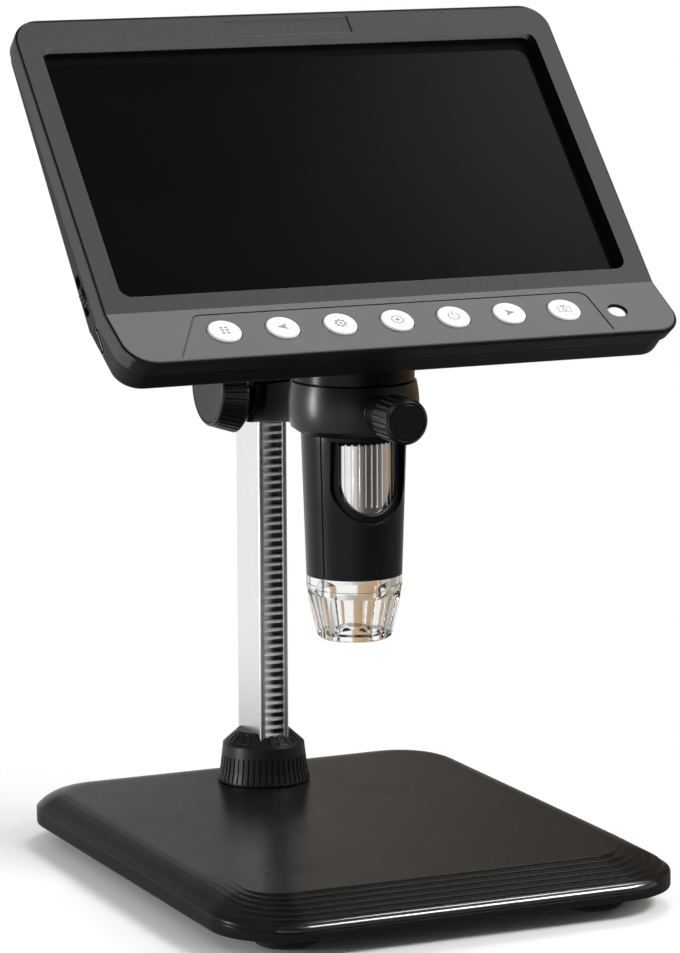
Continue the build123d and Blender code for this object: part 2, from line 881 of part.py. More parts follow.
# Lengths on the clamp screw run forwards from the barrel's axis.
clamp_face = clamp_knob_back + clamp_knob_length
clamp_knob_floor = clamp_face - clamp_knob_wall
with BuildPart() as clamp_knob:
    groove_lip = clamp_groove_depth / 2
    add(turned(
        clamp_frame,
        (clamp_stud_radius, clamp_knob_back),
        (clamp_knob_radius - clamp_knob_shoulder, clamp_knob_back),
        (clamp_knob_radius, clamp_knob_back + clamp_knob_shoulder),
        (clamp_knob_radius, clamp_face - clamp_knob_edge),
        (clamp_knob_radius - clamp_knob_edge, clamp_face),
        (clamp_groove_radius + groove_lip, clamp_face),
        (clamp_groove_radius, clamp_face - clamp_groove_depth),
        (clamp_groove_radius - groove_lip, clamp_face), (0, clamp_face),
        (0, clamp_knob_floor), (clamp_stud_radius, clamp_knob_floor),
    ))
    knurl_end = clamp_face - 1.2 * clamp_knob_edge
    knurl = groove(
        clamp_knurl_width,
        (clamp_knob_radius - clamp_knurl_depth, clamp_knob_back - overcut),
        (clamp_knob_radius + overcut, clamp_knob_back - overcut),
        (clamp_knob_radius + overcut, knurl_end),
        (clamp_knob_radius - clamp_knurl_depth, knurl_end),
    )
    with Locations(clamp_frame):
        with PolarLocations(0, clamp_knurls):
            add(knurl, mode=Mode.SUBTRACT)
keep(clamp_knob, "clamp_knob")

with BuildPart() as clamp_stud:
    stud_tip = shell_top_radius + pocket_gap
    add(turned(
        clamp_frame,
        (0, stud_tip), (clamp_stud_radius - clamp_stud_chamfer, stud_tip),
        (clamp_stud_radius, stud_tip + clamp_stud_chamfer),
        (clamp_stud_radius, clamp_knob_floor), (0, clamp_knob_floor),
    ))
keep(clamp_stud, "clamp_stud")

# ================================================================ barrel
taper_slope = (shell_top_radius - shell_bottom_radius) / (taper_top - shell_bottom)


def shell_radius(z):
    return shell_bottom_radius + min(z - shell_bottom, taper_top - shell_bottom) * taper_slope


with BuildPart() as barrel_shell:
    add(turned(
        barrel,
        (shell_bore, shell_bottom), (shell_bottom_radius, shell_bottom),
        (shell_top_radius, taper_top), (shell_top_radius, shell_top), (cable_hole, shell_top),
        (cable_hole, shell_top - shell_roof), (upper_bore, shell_top - shell_roof),
        (upper_bore, shoulder_z), (shell_bore, shoulder_z),
    ))
    # Scooped rebates round the finger windows, front and back.
    with BuildSketch(Plane.XZ.offset(-barrel_y)) as scoop:
        with Locations((0, scoop_bottom + scoop_half_width)):
            Circle(scoop_half_width)
        with Locations((0, (window_top + scoop_bottom + scoop_half_width) / 2)):
            Rectangle(2 * scoop_half_width, window_top - scoop_bottom - scoop_half_width)
    shell_reach = shell_top_radius + overcut
    scoop_ring = extrude(scoop.sketch, amount=shell_reach, both=True, mode=Mode.PRIVATE)
    scoop_core = rod(barrel, 0, 0, shell_bottom, scoop_floor, shell_top - shell_bottom)
    add(scoop_ring - scoop_core, mode=Mode.SUBTRACT)
    with BuildSketch(Plane.XZ.offset(-barrel_y)) as window:
        with Locations((0, window_bottom + window_half_width)):
            Circle(window_half_width)
        with Locations((0, (window_top + window_bottom + window_half_width) / 2)):
            Rectangle(2 * window_half_width, window_top - window_bottom - window_half_width)
    extrude(window.sketch, amount=shell_reach, both=True, mode=Mode.SUBTRACT)
    seam_start = shell_bottom - overcut
    seam = groove(
        seam_width, (shell_radius(seam_start) - seam_depth, seam_start),
        (shell_reach, seam_start), (shell_reach, ring_bottom),
        (shell_radius(ring_bottom) - seam_depth, ring_bottom),
    )
    with Locations(barrel):
        for angle in seam_angles:
            with Locations(Rotation(0, 0, angle - 90)):
                add(seam, mode=Mode.SUBTRACT)
    neck_screw_places = PolarLocations(neck_screw_circle, neck_screw_count, start_angle=90).locations
    for place in neck_screw_places:
        x, y = place.position.X, place.position.Y
        add(
            rod(barrel, x, y, shell_top - shell_roof, neck_screw_radius, shell_roof),
            mode=Mode.SUBTRACT,
        )
keep(barrel_shell, "barrel_shell")

with BuildPart() as focus_wheel:
    add(turned(
        barrel,
        (guide_radius + running_gap, wheel_bottom), (wheel_radius - wheel_edge, wheel_bottom),
        (wheel_radius, wheel_bottom + wheel_edge), (wheel_radius, wheel_top - wheel_edge),
        (wheel_radius - wheel_edge, wheel_top), (guide_radius + running_gap, wheel_top),
        (guide_radius + running_gap, wheel_recess_top), (wheel_recess, wheel_recess_top),
        (wheel_recess, wheel_recess_bottom), (guide_radius + running_gap, wheel_recess_bottom),
    ))
    flute = groove(
        wheel_flute_width,
        (wheel_radius - wheel_flute_depth, wheel_flute_bottom),
        (wheel_radius + overcut, wheel_flute_bottom), (wheel_radius + overcut, wheel_top + overcut),
        (wheel_radius - wheel_flute_depth, wheel_top + overcut),
    )
    with Locations(barrel):
        with PolarLocations(0, wheel_flutes):
            add(flute, mode=Mode.SUBTRACT)
keep(focus_wheel, "focus_wheel")

with BuildPart() as lens_guide:
    add(turned(
        barrel,
        (guide_bore, guide_bottom), (guide_radius, guide_bottom),
        (guide_radius, shoulder_z - guide_flange), (shell_bore, shoulder_z - guide_flange),
        (shell_bore, shoulder_z), (guide_bore, shoulder_z),
    ))
    slot_reach = cam_pin_radius + cam_pin_gap
    slot_low = cam_pin_z - lens_travel_down - slot_reach
    slot_high = cam_pin_z + lens_travel_up + slot_reach
    add(
        block(
            barrel, 0, 0, slot_low, 2 * (guide_radius + overcut), 2 * slot_reach,
            slot_high - slot_low,
        ),
        mode=Mode.SUBTRACT,
    )
keep(lens_guide, "lens_guide")

with BuildPart() as wheel_retainer:
    with BuildSketch(barrel.offset(wheel_bottom - body_gap - retainer_thickness)):
        Circle(shell_bore)
        Circle(guide_radius, mode=Mode.SUBTRACT)
    extrude(amount=retainer_thickness)
keep(wheel_retainer, "wheel_retainer")

lens_inner = lens_radius_outer - lens_wall
lens_seat_radius = lens_inner - lens_lip
with BuildPart() as lens_cell:
    add(turned(
        barrel,
        (lens_inner, lens_bottom), (lens_radius_outer, lens_bottom),
        (lens_radius_outer, lens_bottom + lens_length), (lens_inner, lens_bottom + lens_length),
        (lens_inner, lens_bottom + lens_seat + 1), (lens_seat_radius, lens_bottom + lens_seat + 1),
        (lens_seat_radius, lens_bottom + lens_seat), (lens_inner, lens_bottom + lens_seat),
    ))
    add(
        block(
            barrel, 0, 0, cam_pin_z - cam_pin_radius, 2 * (lens_radius_outer + overcut),
            2 * cam_pin_radius, 2 * cam_pin_radius,
        ),
        mode=Mode.SUBTRACT,
    )
keep(lens_cell, "lens_cell")

with BuildPart() as cam_pins:
    for end in (-1, 1):
        x_middle = end * (lens_inner + cam_pin_reach) / 2
        add(block(
            barrel, x_middle, 0, cam_pin_z - cam_pin_radius, cam_pin_reach - lens_inner,
            2 * cam_pin_radius, 2 * cam_pin_radius,
        ))
    chamfer(cam_pins.edges().filter_by(Axis.X), cam_pin_radius * 0.6)
keep(cam_pins, "cam_pins")

objective_low = lens_bottom + body_gap
objective_dome = (lens_inner**2 + objective_bulge**2) / (2 * objective_bulge)
with BuildPart() as objective_lens:
    add(rod(barrel, 0, 0, objective_low, lens_inner, lens_bottom + lens_seat - objective_low))
    with Locations((0, barrel_y, objective_low + objective_dome)):
        Sphere(objective_dome, mode=Mode.INTERSECT)
keep(objective_lens, "objective_lens")

relay_low = lens_bottom + lens_seat + 1
relay_dish = (lens_inner**2 + relay_hollow**2) / (2 * relay_hollow)
with BuildPart() as relay_lens:
    add(rod(barrel, 0, 0, relay_low, lens_inner, relay_thickness))
    with Locations((0, barrel_y, relay_low + relay_thickness - relay_hollow + relay_dish)):
        Sphere(relay_dish, mode=Mode.SUBTRACT)
keep(relay_lens, "relay_lens")

# The clear nose: a tapered cup with flat arched panels round it.
nose_wall_top = spigot_radius - nose_wall
nose_shoulder = (nose_top_radius - nose_ledge, nose_ledge_z - nose_ledge)
nose_waist = (nose_waist_radius, nose_waist_z)
nose_middle = (
    (nose_shoulder[0] + nose_waist_radius) / 2 + nose_bulge, (nose_shoulder[1] + nose_waist_z) / 2
)
with BuildPart() as nose_cone:
    with BuildSketch(section_of(barrel)):
        with BuildLine():
            Polyline(
                (nose_wall_top, spigot_top), (spigot_radius, spigot_top),
                (spigot_radius, shell_bottom), (nose_top_radius, shell_bottom),
                (nose_top_radius, nose_ledge_z), nose_shoulder,
            )
            ThreePointArc(nose_shoulder, nose_middle, nose_waist)
            Polyline(
                nose_waist, nose_round, (nose_bottom_radius, nose_bottom),
                (nose_mouth, nose_bottom), (nose_mouth, nose_bottom + nose_lip),
                (nose_waist_radius - nose_facet_depth[0] - nose_wall, nose_waist_z + nose_lip / 2),
                (nose_wall_top, nose_ledge_z - nose_web), (nose_wall_top, spigot_top),
            )
        make_face()
    revolve(axis=Axis(barrel.origin, barrel.z_dir))
    facet_low = nose_waist_radius - nose_facet_depth[0]
    facet_high = nose_shoulder[0] - nose_facet_depth[1]
    facet = groove(
        2 * nose_top_radius,
        (facet_low, nose_bottom), (facet_low, nose_waist_z),
        (facet_high, nose_facet_top - nose_facet_slope), (nose_shoulder[0], nose_facet_top),
        (2 * nose_top_radius, nose_facet_top), (2 * nose_top_radius, nose_bottom),
    )
    with Locations(barrel):
        with PolarLocations(0, nose_facets):
            add(facet, mode=Mode.SUBTRACT)
keep(nose_cone, "nose_cone")

with BuildPart() as led_board:
    with BuildSketch(barrel.offset(spigot_top)):
        Circle(shell_bore)
        Circle(guide_radius, mode=Mode.SUBTRACT)
    extrude(amount=led_board_thickness)
keep(led_board, "led_board")

with BuildPart() as leds:
    with BuildSketch(barrel.offset(spigot_top - led_height)):
        with PolarLocations(led_circle, led_count):
            Rectangle(led_size, led_size)
    extrude(amount=led_height)
keep(leds, "leds")

with BuildPart() as sensor_mount:
    with BuildSketch(barrel.offset(shoulder_z)):
        Circle(upper_bore - running_gap)
        Circle(guide_bore, mode=Mode.SUBTRACT)
    extrude(amount=sensor_mount_height)
keep(sensor_mount, "sensor_mount")

sensor_board_z = shoulder_z + sensor_mount_height
with BuildPart() as sensor_board:
    add(rod(barrel, 0, 0, sensor_board_z, sensor_board_radius, sensor_board_thickness))
    add(block(
        barrel, 0, 0, sensor_board_z + sensor_board_thickness, cable_width, socket_depth,
        socket_height,
    ))
keep(sensor_board, "sensor_board")

with BuildPart() as image_sensor:
    add(block(
        barrel, 0, 0, sensor_board_z - sensor_thickness, sensor_size, sensor_size, sensor_thickness
    ))
keep(image_sensor, "image_sensor")

# ================================================================ head
# Outlines below are in u, up the face from its crease, and n, out of the face.
bend = radians(chin_bend)
chin_tip = (-chin_length * cos(bend), chin_length * sin(bend))
heel = (heel_u, -heel_depth)
back_bend = (head_low_u, -head_depth_low)
back_slope = (head_depth_low - head_depth_top) / (face_height - head_low_u)
under_slope = (head_depth_low - heel_depth) / (head_low_u - heel_u)
tilt = radians(display_tilt)
cable_u = (barrel_y - crease_y - head_depth_low * sin(tilt)) / cos(tilt)
dial_slot_reach = 2 * body_gap + sqrt(
    dial_radius**2 - (dial_radius - dial_proud - side_wall) ** 2
)
split_share = bezel_depth / (chin_tip[1] + heel_depth)
split_low = (
    chin_tip[0] + (heel_u - chin_tip[0]) * split_share,
    chin_tip[1] - bezel_depth,
)
split_bend = (split_low[0] + (split_low[1] + bezel_depth) / tan(bend), -bezel_depth)
shell_low = (
    split_low[0] + shell_inset * cos(bend),
    split_low[1] - shell_inset * sin(bend),
)
shell_top_u = face_height - shell_inset


def back_at(u):
    """How far the back of the head lies behind the face."""
    return head_depth_low - (u - head_low_u) * back_slope


def corner_edges(part, lowest):
    """The edges that run front to back at the ends of the head's top or bottom side."""
    end = part.faces().sort_by(up_face)[0 if lowest else -1]
    return end.edges().filter_by(Axis.X, reverse=True)


def frame_at(frame, x, y):
    """A frame shifted across its own plane."""
    return Plane(origin=frame.from_local_coords((x, y, 0)), x_dir=frame.x_dir, z_dir=frame.z_dir)


with BuildPart() as cavity:
    with BuildSketch(side):
        with BuildLine():
            Polyline(
                (face_height, 0), (0, 0), chin_tip, heel, back_bend,
                (face_height, -head_depth_top), close=True,
            )
        make_face()
        offset(amount=-case_wall, kind=Kind.INTERSECTION)
    extrude(amount=face_width / 2 - side_wall, both=True)
    for lowest in (True, False):
        fillet(corner_edges(cavity, lowest), face_corner - side_wall)
    for x, u in post_places:
        add(rod(face, x, u, -head_depth_low, post_radius, 2 * head_depth_low), mode=Mode.SUBTRACT)
    standoff_places = [
        (x, u)
        for x in (board_left + standoff_inset, board_right - standoff_inset)
        for u in (board_low + standoff_inset, board_high - standoff_inset)
    ]
    for x, u in standoff_places:
        add(
            rod(
                face, x, u, -head_depth_low, standoff_radius,
                head_depth_low - board_depth - board_thickness,
            ),
            mode=Mode.SUBTRACT,
        )
    dial_x = -face_width / 2 + shell_inset + dial_radius - dial_proud
    dial_low = -dial_depth - dial_thickness / 2
    add(
        rod(
            face, dial_x, dial_u, -head_depth_low, dial_pin_radius + dial_boss_wall,
            head_depth_low + dial_low - pocket_gap,
        ),
        mode=Mode.SUBTRACT,
    )


def case_screw_solid(gap, length):
    """A case screw, or with a gap and a longer head the space that it needs."""
    return turned(
        face,
        (0, -case_screw_seat - length), (case_screw_head + gap, -case_screw_seat - length),
        (case_screw_head + gap, -case_screw_seat), (case_screw_radius, -case_screw_seat),
        (case_screw_radius, -case_screw_tip), (0, -case_screw_tip),
    )


screw_hole = case_screw_solid(pocket_gap, head_depth_low)
screw_shifts = [Location(face.x_dir * x + face.y_dir * u) for x, u in post_places]

with BuildPart() as front_bezel:
    add(prism(
        side, face_width / 2, (face_height, 0), (0, 0), chin_tip, split_low, split_bend,
        (face_height, -bezel_depth),
    ))
    for lowest in (True, False):
        fillet(corner_edges(front_bezel, lowest), face_corner)
    front_faces = front_bezel.faces().filter_by(
        lambda each: each.normal_at().dot(face.z_dir) > 0.99
        or each.normal_at().dot(chin.z_dir) > 0.99
    )
    front_edges = front_faces.edges().filter_by(
        lambda edge: (edge.center() - face.origin).length > face_edge
    )
    fillet(front_edges, face_edge)
    add(cavity.part, mode=Mode.SUBTRACT)
    rim_width = screen_width + 2 * screen_rim
    rim_height = screen_height + 2 * screen_rim
    add(block(
        face, 0, screen_middle, -screen_recess, rim_width, rim_height, screen_recess - case_wall / 2
    ))
    with BuildSketch(face.offset(-screen_recess)):
        with Locations((0, screen_middle)):
            RectangleRounded(screen_width, screen_height, screen_corner)
    extrude(amount=screen_recess + overcut, mode=Mode.SUBTRACT)
    add(
        block(face, 0, plate_centre, -plate_depth, plate_width, plate_height, overcut),
        mode=Mode.SUBTRACT,
    )
    board_post_places = [
        (button_places[i] + button_pitch / 2, -button_row_down) for i in (0, 2, 5)
    ]
    for x, y in board_post_places:
        add(rod(chin, x, y, -board_top, button_stem_radius, board_top - case_wall / 2))
    with BuildSketch(chin.offset(-case_wall - overcut)):
        with Locations([(x, -button_row_down) for x in button_places]):
            Circle(button_radius + button_hole_gap)
        with Locations((lens_x, -lens_down)):
            Circle(lens_radius)
    extrude(amount=case_wall + 2 * overcut, mode=Mode.SUBTRACT)
    with BuildSketch(chin.offset(-panel_line_depth)):
        with BuildLine():
            FilletPolyline(
                (panel_line_left[1], panel_line_end - chin_length),
                (panel_line_left[0], -panel_line_top), (panel_line_right[0], -panel_line_top),
                (panel_line_right[1], panel_line_end - chin_length), radius=panel_line_round,
            )
        trace(line_width=panel_line_width)
    extrude(amount=overcut, mode=Mode.SUBTRACT)
    for shift in screw_shifts:
        add(screw_hole.moved(shift), mode=Mode.SUBTRACT)
keep(front_bezel, "front_bezel")

with BuildPart() as rear_shell:
    add(prism(
        side, face_width / 2 - shell_inset, (shell_top_u, -bezel_depth), split_bend, shell_low,
        heel, back_bend, (shell_top_u, -back_at(shell_top_u)),
    ))
    for lowest in (True, False):
        fillet(corner_edges(rear_shell, lowest), shell_corner)
    back_faces = rear_shell.faces().filter_by(
        lambda each: each.normal_at().dot(face.z_dir) < -0.9 and each.geom_type == GeomType.PLANE
    )
    back_edges = back_faces.edges().filter_by(
        lambda edge: (edge.center() - side.from_local_coords((*back_bend, 0))).length > shell_edge
    )
    fillet(back_edges, shell_edge)
    add(cavity.part, mode=Mode.SUBTRACT)
    with BuildSketch(side.offset(-face_width / 2)):
        with Locations((dial_u, -dial_depth)):
            SlotOverall(2 * dial_slot_reach, dial_thickness + 2 * body_gap)
    extrude(amount=shell_inset + side_wall, mode=Mode.SUBTRACT)
    with BuildSketch(side.offset(-face_width / 2)):
        with Locations((port_u, -port_depth)):
            RectangleRounded(
                port_height + 2 * port_gap, port_thickness + 2 * port_gap, port_thickness / 2
            )
    extrude(amount=shell_inset + port_length + pocket_gap, mode=Mode.SUBTRACT)
    with BuildSketch(side.offset(face_width / 2)):
        with Locations((card_u, -port_depth)):
            Rectangle(card_width - 2 * card_side_wall, card_thickness - card_lid)
    extrude(amount=-shell_inset - side_wall, mode=Mode.SUBTRACT)
    add(
        block(
            face, 0, cable_u, -2 * head_depth_low, *cable_slot, 2 * head_depth_low - board_depth
        ),
        mode=Mode.SUBTRACT,
    )
    for x in (-neck_bolt_x, neck_bolt_x):
        add(
            rod(face, x, cable_u, -2 * head_depth_low, neck_bolt_radius, 1.5 * head_depth_low),
            mode=Mode.SUBTRACT,
        )
    for shift in screw_shifts:
        add(screw_hole.moved(shift), mode=Mode.SUBTRACT)
keep(rear_shell, "rear_shell")

# The neck is a round shell whose top is cut to the slope of the head's back.
with BuildPart() as neck_housing:
    neck_reach = face_height
    add(rod(barrel, 0, 0, shell_top, neck_radius, neck_reach))
    add(
        rod(barrel, 0, 0, shell_top + neck_floor, neck_bore, neck_reach), mode=Mode.SUBTRACT
    )
    boss_low = -back_at(cable_u) - neck_boss_length
    for x in (-neck_bolt_x, neck_bolt_x):
        add(rod(face, x, cable_u, boss_low, neck_boss_radius, 2 * neck_boss_length))
    add(
        prism(
            side, 2 * neck_radius, back_bend,
            (heel_u - neck_reach, under_slope * neck_reach - heel_depth),
            (heel_u - neck_reach, 2 * neck_reach), (3 * neck_reach, 2 * neck_reach),
            (3 * neck_reach, -back_at(3 * neck_reach)),
        ),
        mode=Mode.SUBTRACT,
    )
    for x in (-neck_bolt_x, neck_bolt_x):
        add(
            rod(face, x, cable_u, boss_low + neck_boss_floor, neck_bolt_radius, neck_boss_length),
            mode=Mode.SUBTRACT,
        )
    add(rod(barrel, 0, 0, shell_top, cable_hole, neck_floor), mode=Mode.SUBTRACT)
    for place in neck_screw_places:
        x, y = place.position.X, place.position.Y
        add(rod(barrel, x, y, shell_top, neck_screw_radius, neck_floor), mode=Mode.SUBTRACT)
keep(neck_housing, "neck_housing")

neck_screw = turned(
    barrel,
    (0, shell_top - shell_roof + pocket_gap),
    (neck_screw_radius, shell_top - shell_roof + pocket_gap),
    (neck_screw_radius, shell_top + neck_floor), (neck_screw_head, shell_top + neck_floor),
    (neck_screw_head, shell_top + neck_floor + neck_screw_head_height),
    (0, shell_top + neck_floor + neck_screw_head_height),
)
with BuildPart() as neck_screws:
    for place in neck_screw_places:
        add(neck_screw.moved(Location(place.position)))
keep(neck_screws, "neck_screws")

with BuildPart() as neck_bolts:
    bolt_seat = case_wall + running_gap - back_at(cable_u)
    bolt_tip = boss_low + neck_boss_floor + pocket_gap
    for x in (-neck_bolt_x, neck_bolt_x):
        add(rod(face, x, cable_u, bolt_tip, neck_bolt_radius, bolt_seat - bolt_tip))
        add(rod(face, x, cable_u, bolt_seat, neck_bolt_head, case_screw_head_height))
keep(neck_bolts, "neck_bolts")

case_screw = case_screw_solid(0, case_screw_head_height)
with BuildPart() as case_screws:
    for shift in screw_shifts:
        add(case_screw.moved(shift))
keep(case_screws, "case_screws")

panel_width = screen_width + 2 * panel_margin
panel_height = screen_height + 2 * panel_margin
with BuildPart() as lcd_glass:
    add(block(face, 0, screen_middle, -glass_back, panel_width, panel_height, glass_thickness))
keep(lcd_glass, "lcd_glass")

with BuildPart() as lcd_backlight:
    add(block(
        face, 0, screen_middle, -backlight_back, panel_width, panel_height, backlight_thickness
    ))
keep(lcd_backlight, "lcd_backlight")

board_back = board_depth + board_thickness
with BuildPart() as main_board:
    board_x = (board_left + board_right) / 2
    board_u = (board_low + board_high) / 2
    add(block(
        face, board_x, board_u, -board_back, board_right - board_left, board_high - board_low,
        board_thickness,
    ))
    for x, u, size in chips:
        add(block(face, x, board_u + u, -board_back - chip_height, size, size, chip_height))
    add(block(
        face, 0, connector_u, -board_back - connector_height, cable_slot[0], connector_depth,
        connector_height,
    ))
keep(main_board, "main_board")

with BuildPart() as battery_pack:
    add(block(
        face, *battery_centre, -backlight_back - battery_thickness, battery_width, battery_height,
        battery_thickness,
    ))
    chamfer(battery_pack.edges().filter_by(up_face), battery_edge)
keep(battery_pack, "battery_pack")

with BuildPart() as button_board:
    add(block(
        chin, sum(board_reach) / 2, -board_centre_down, -board_top - board_thickness,
        board_reach[1] - board_reach[0], board_span, board_thickness,
    ))
    add(block(chin, lens_x, -lens_down, -board_top, led_chip[0], *led_chip))
keep(button_board, "button_board")

with BuildPart() as tact_switches:
    for x in button_places:
        add(block(chin, x, -button_row_down, -board_top, switch_size, switch_size, switch_height))
keep(tact_switches, "tact_switches")

with BuildPart() as status_lens:
    lens_frame = frame_at(chin, lens_x, -lens_down)
    lens_fit = lens_radius - running_gap
    add(turned(
        lens_frame,
        (0, -case_wall - lens_flange_height),
        (lens_radius + lens_flange, -case_wall - lens_flange_height),
        (lens_radius + lens_flange, -case_wall), (lens_fit, -case_wall),
        (lens_fit, -lens_recess - lens_dome), (lens_fit * 0.6, -lens_recess), (0, -lens_recess),
    ))
keep(status_lens, "status_lens")

with BuildPart() as usb_port:
    port_face = -face_width / 2 + shell_inset + port_gap
    with BuildSketch(side.offset(port_face)):
        with Locations((port_u, -port_depth)):
            RectangleRounded(port_height, port_thickness, port_thickness / 2 - port_gap)
    extrude(amount=port_length)
    with BuildSketch(side.offset(port_face)):
        with Locations((port_u, -port_depth)):
            RectangleRounded(
                port_height - 2 * port_shell, port_thickness - 2 * port_shell,
                port_thickness / 2 - port_gap - port_shell,
            )
            Rectangle(*port_tongue, mode=Mode.SUBTRACT)
    extrude(amount=port_length - port_floor, mode=Mode.SUBTRACT)
keep(usb_port, "usb_port")

with BuildPart() as card_slot:
    card_face = face_width / 2 - side_wall - port_gap
    with BuildSketch(side.offset(card_face - card_length)):
        with Locations((card_u, -port_depth)):
            Rectangle(card_width, card_thickness)
    extrude(amount=card_length)
    with BuildSketch(side.offset(card_face)):
        with Locations((card_u, -port_depth)):
            Rectangle(card_width - 2 * card_side_wall, card_thickness - 2 * card_lid)
    extrude(amount=port_floor - card_length, mode=Mode.SUBTRACT)
keep(card_slot, "card_slot")

with BuildPart() as flex_cable:
    socket_top = sensor_board_z + sensor_board_thickness + socket_height
    run_depth = board_back + connector_height - cable_thickness / 2
    turn_depth = run_depth + cable_bend
    turn_u = (barrel_y - crease_y - turn_depth * face.y_dir.Z) / face.y_dir.Y
    route = [
        side.from_local_coords((u, -depth, 0))
        for u, depth in (
            (turn_u, turn_depth), (turn_u + cable_bend, run_depth),
            (connector_u - connector_depth / 2 - running_gap, run_depth),
        )
    ]
    with BuildSketch(Plane.YZ):
        with BuildLine():
            Polyline((barrel_y, socket_top), *[(point.Y, point.Z) for point in route])
        trace(line_width=cable_thickness)
    extrude(amount=cable_width / 2, both=True)
keep(flex_cable, "flex_cable")

# ================================================================ controls on the head
for name, x in zip(button_names, button_places):
    button_frame = frame_at(chin, x, -button_row_down)
    with BuildPart() as button:
        add(turned(
            button_frame,
            (0, -stem_bottom), (button_stem_radius, -stem_bottom),
            (button_stem_radius, -flange_top - button_flange_height),
            (button_radius + button_flange, -flange_top - button_flange_height),
            (button_radius + button_flange, -flange_top), (button_radius, -flange_top),
            (button_radius, button_proud - button_edge),
            (button_radius - button_edge, button_proud),
            (0, button_proud),
        ))
    keep(button, f"button_{name}")

dial_frame = frame_at(face, dial_x, dial_u)
with BuildPart() as brightness_dial:
    with BuildSketch(dial_frame.offset(dial_low)):
        Circle(dial_radius)
        Circle(dial_pin_radius + running_gap, mode=Mode.SUBTRACT)
    extrude(amount=dial_thickness)
    dial_high = dial_low + dial_thickness
    notch = groove(
        dial_knurl_width, (dial_radius - dial_knurl_depth, dial_low - overcut),
        (dial_radius + overcut, dial_low - overcut), (dial_radius + overcut, dial_high + overcut),
        (dial_radius - dial_knurl_depth, dial_high + overcut),
    )
    with Locations(dial_frame):
        with PolarLocations(0, dial_knurls):
            add(notch, mode=Mode.SUBTRACT)
keep(brightness_dial, "brightness_dial")

with BuildPart() as dial_pin:
    pin_head = dial_high + body_gap
    add(turned(
        dial_frame,
        (0, dial_low - pocket_gap), (dial_pin_radius, dial_low - pocket_gap),
        (dial_pin_radius, pin_head), (dial_pin_head, pin_head),
        (dial_pin_head, pin_head + dial_pin_head_height), (0, pin_head + dial_pin_head_height),
    ))
keep(dial_pin, "dial_pin")
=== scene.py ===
# %% [markdown]
# # A desk microscope with its own display
#
# The object is a microscope for a workbench: a black stand, a bright rack column,
# a camera barrel in a ring, and a tilted display with seven buttons.  Its solids
# come from a CAD model and stay fixed.  This lesson gives them their finishes,
# puts a smoother skin on the stand, prints the symbols, and lights the whole.

# %% The fixed model
import json
from math import cos, radians, sin, tau

import bmesh
import bpy
from mathutils import Matrix, Vector


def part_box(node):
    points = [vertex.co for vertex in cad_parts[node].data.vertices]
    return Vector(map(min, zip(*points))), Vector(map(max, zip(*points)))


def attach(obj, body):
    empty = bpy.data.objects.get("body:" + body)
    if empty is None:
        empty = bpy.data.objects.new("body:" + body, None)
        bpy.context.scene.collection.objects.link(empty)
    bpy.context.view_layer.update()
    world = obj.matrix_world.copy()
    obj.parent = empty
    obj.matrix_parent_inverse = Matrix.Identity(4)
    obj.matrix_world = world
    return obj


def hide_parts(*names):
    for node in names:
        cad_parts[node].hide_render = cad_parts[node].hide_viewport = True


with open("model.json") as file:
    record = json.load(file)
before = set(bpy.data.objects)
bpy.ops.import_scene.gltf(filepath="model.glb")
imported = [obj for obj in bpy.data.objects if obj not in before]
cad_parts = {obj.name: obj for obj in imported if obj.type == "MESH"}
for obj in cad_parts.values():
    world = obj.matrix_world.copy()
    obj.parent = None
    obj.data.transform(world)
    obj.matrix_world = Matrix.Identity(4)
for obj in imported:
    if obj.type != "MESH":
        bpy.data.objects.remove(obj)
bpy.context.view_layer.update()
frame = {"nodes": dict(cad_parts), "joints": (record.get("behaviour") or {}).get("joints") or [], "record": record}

nodes = frame["nodes"]
MM = 0.001
print("CAD pieces:", len(nodes))

# %% [markdown]
# ## The camera
#
# A long lens from a low side angle keeps upright lines nearly parallel, so a product
# looks true to its shape.  The camera could be aimed with a constraint, but a matrix
# made of its own right, up and forward directions is exact and easy to read, so it
# is built that way here.

# %% Camera
azimuth, elevation, roll = radians(24.335), radians(9.369), radians(-0.272)
CAMERA_PLACE = (-0.52138, -1.15113, 0.32552)
FOCAL_LENGTH, SENSOR_WIDTH = 167.07, 36         # both in millimetres
NEAREST, FARTHEST = 0.05, 40                    # what it draws, in metres

forward = Vector((sin(azimuth) * cos(elevation), cos(azimuth) * cos(elevation), -sin(elevation)))
level_right = Vector((cos(azimuth), -sin(azimuth), 0))
level_up = level_right.cross(forward)
right = level_right * cos(roll) + level_up * sin(roll)
up = level_up * cos(roll) - level_right * sin(roll)

camera = bpy.data.objects.new("camera", bpy.data.cameras.new("camera"))
bpy.context.scene.collection.objects.link(camera)
camera_turn = Matrix((right, up, -forward)).transposed().to_4x4()
camera.matrix_world = Matrix.Translation(CAMERA_PLACE) @ camera_turn
camera.data.lens = FOCAL_LENGTH
camera.data.sensor_width = SENSOR_WIDTH
camera.data.clip_start, camera.data.clip_end = NEAREST, FARTHEST
bpy.context.scene.camera = camera
print("camera stands", round(Vector(CAMERA_PLACE).length, 2), "m from the origin")

# %% [markdown]
# ## Small helpers for nodes
#
# Every finish below is a network of shader nodes.  Written out in full, such a
# network is long, so one helper adds a node and fills its sockets: a value that is
# itself a socket is linked, anything else is typed in.  The rest are short names for
# the steps that come back most.

# %% Adding a node
def fill(tree, socket, value):
    """Links a socket to another one, or types a value in."""
    if isinstance(value, bpy.types.NodeSocket):
        tree.links.new(value, socket)
    else:
        socket.default_value = value


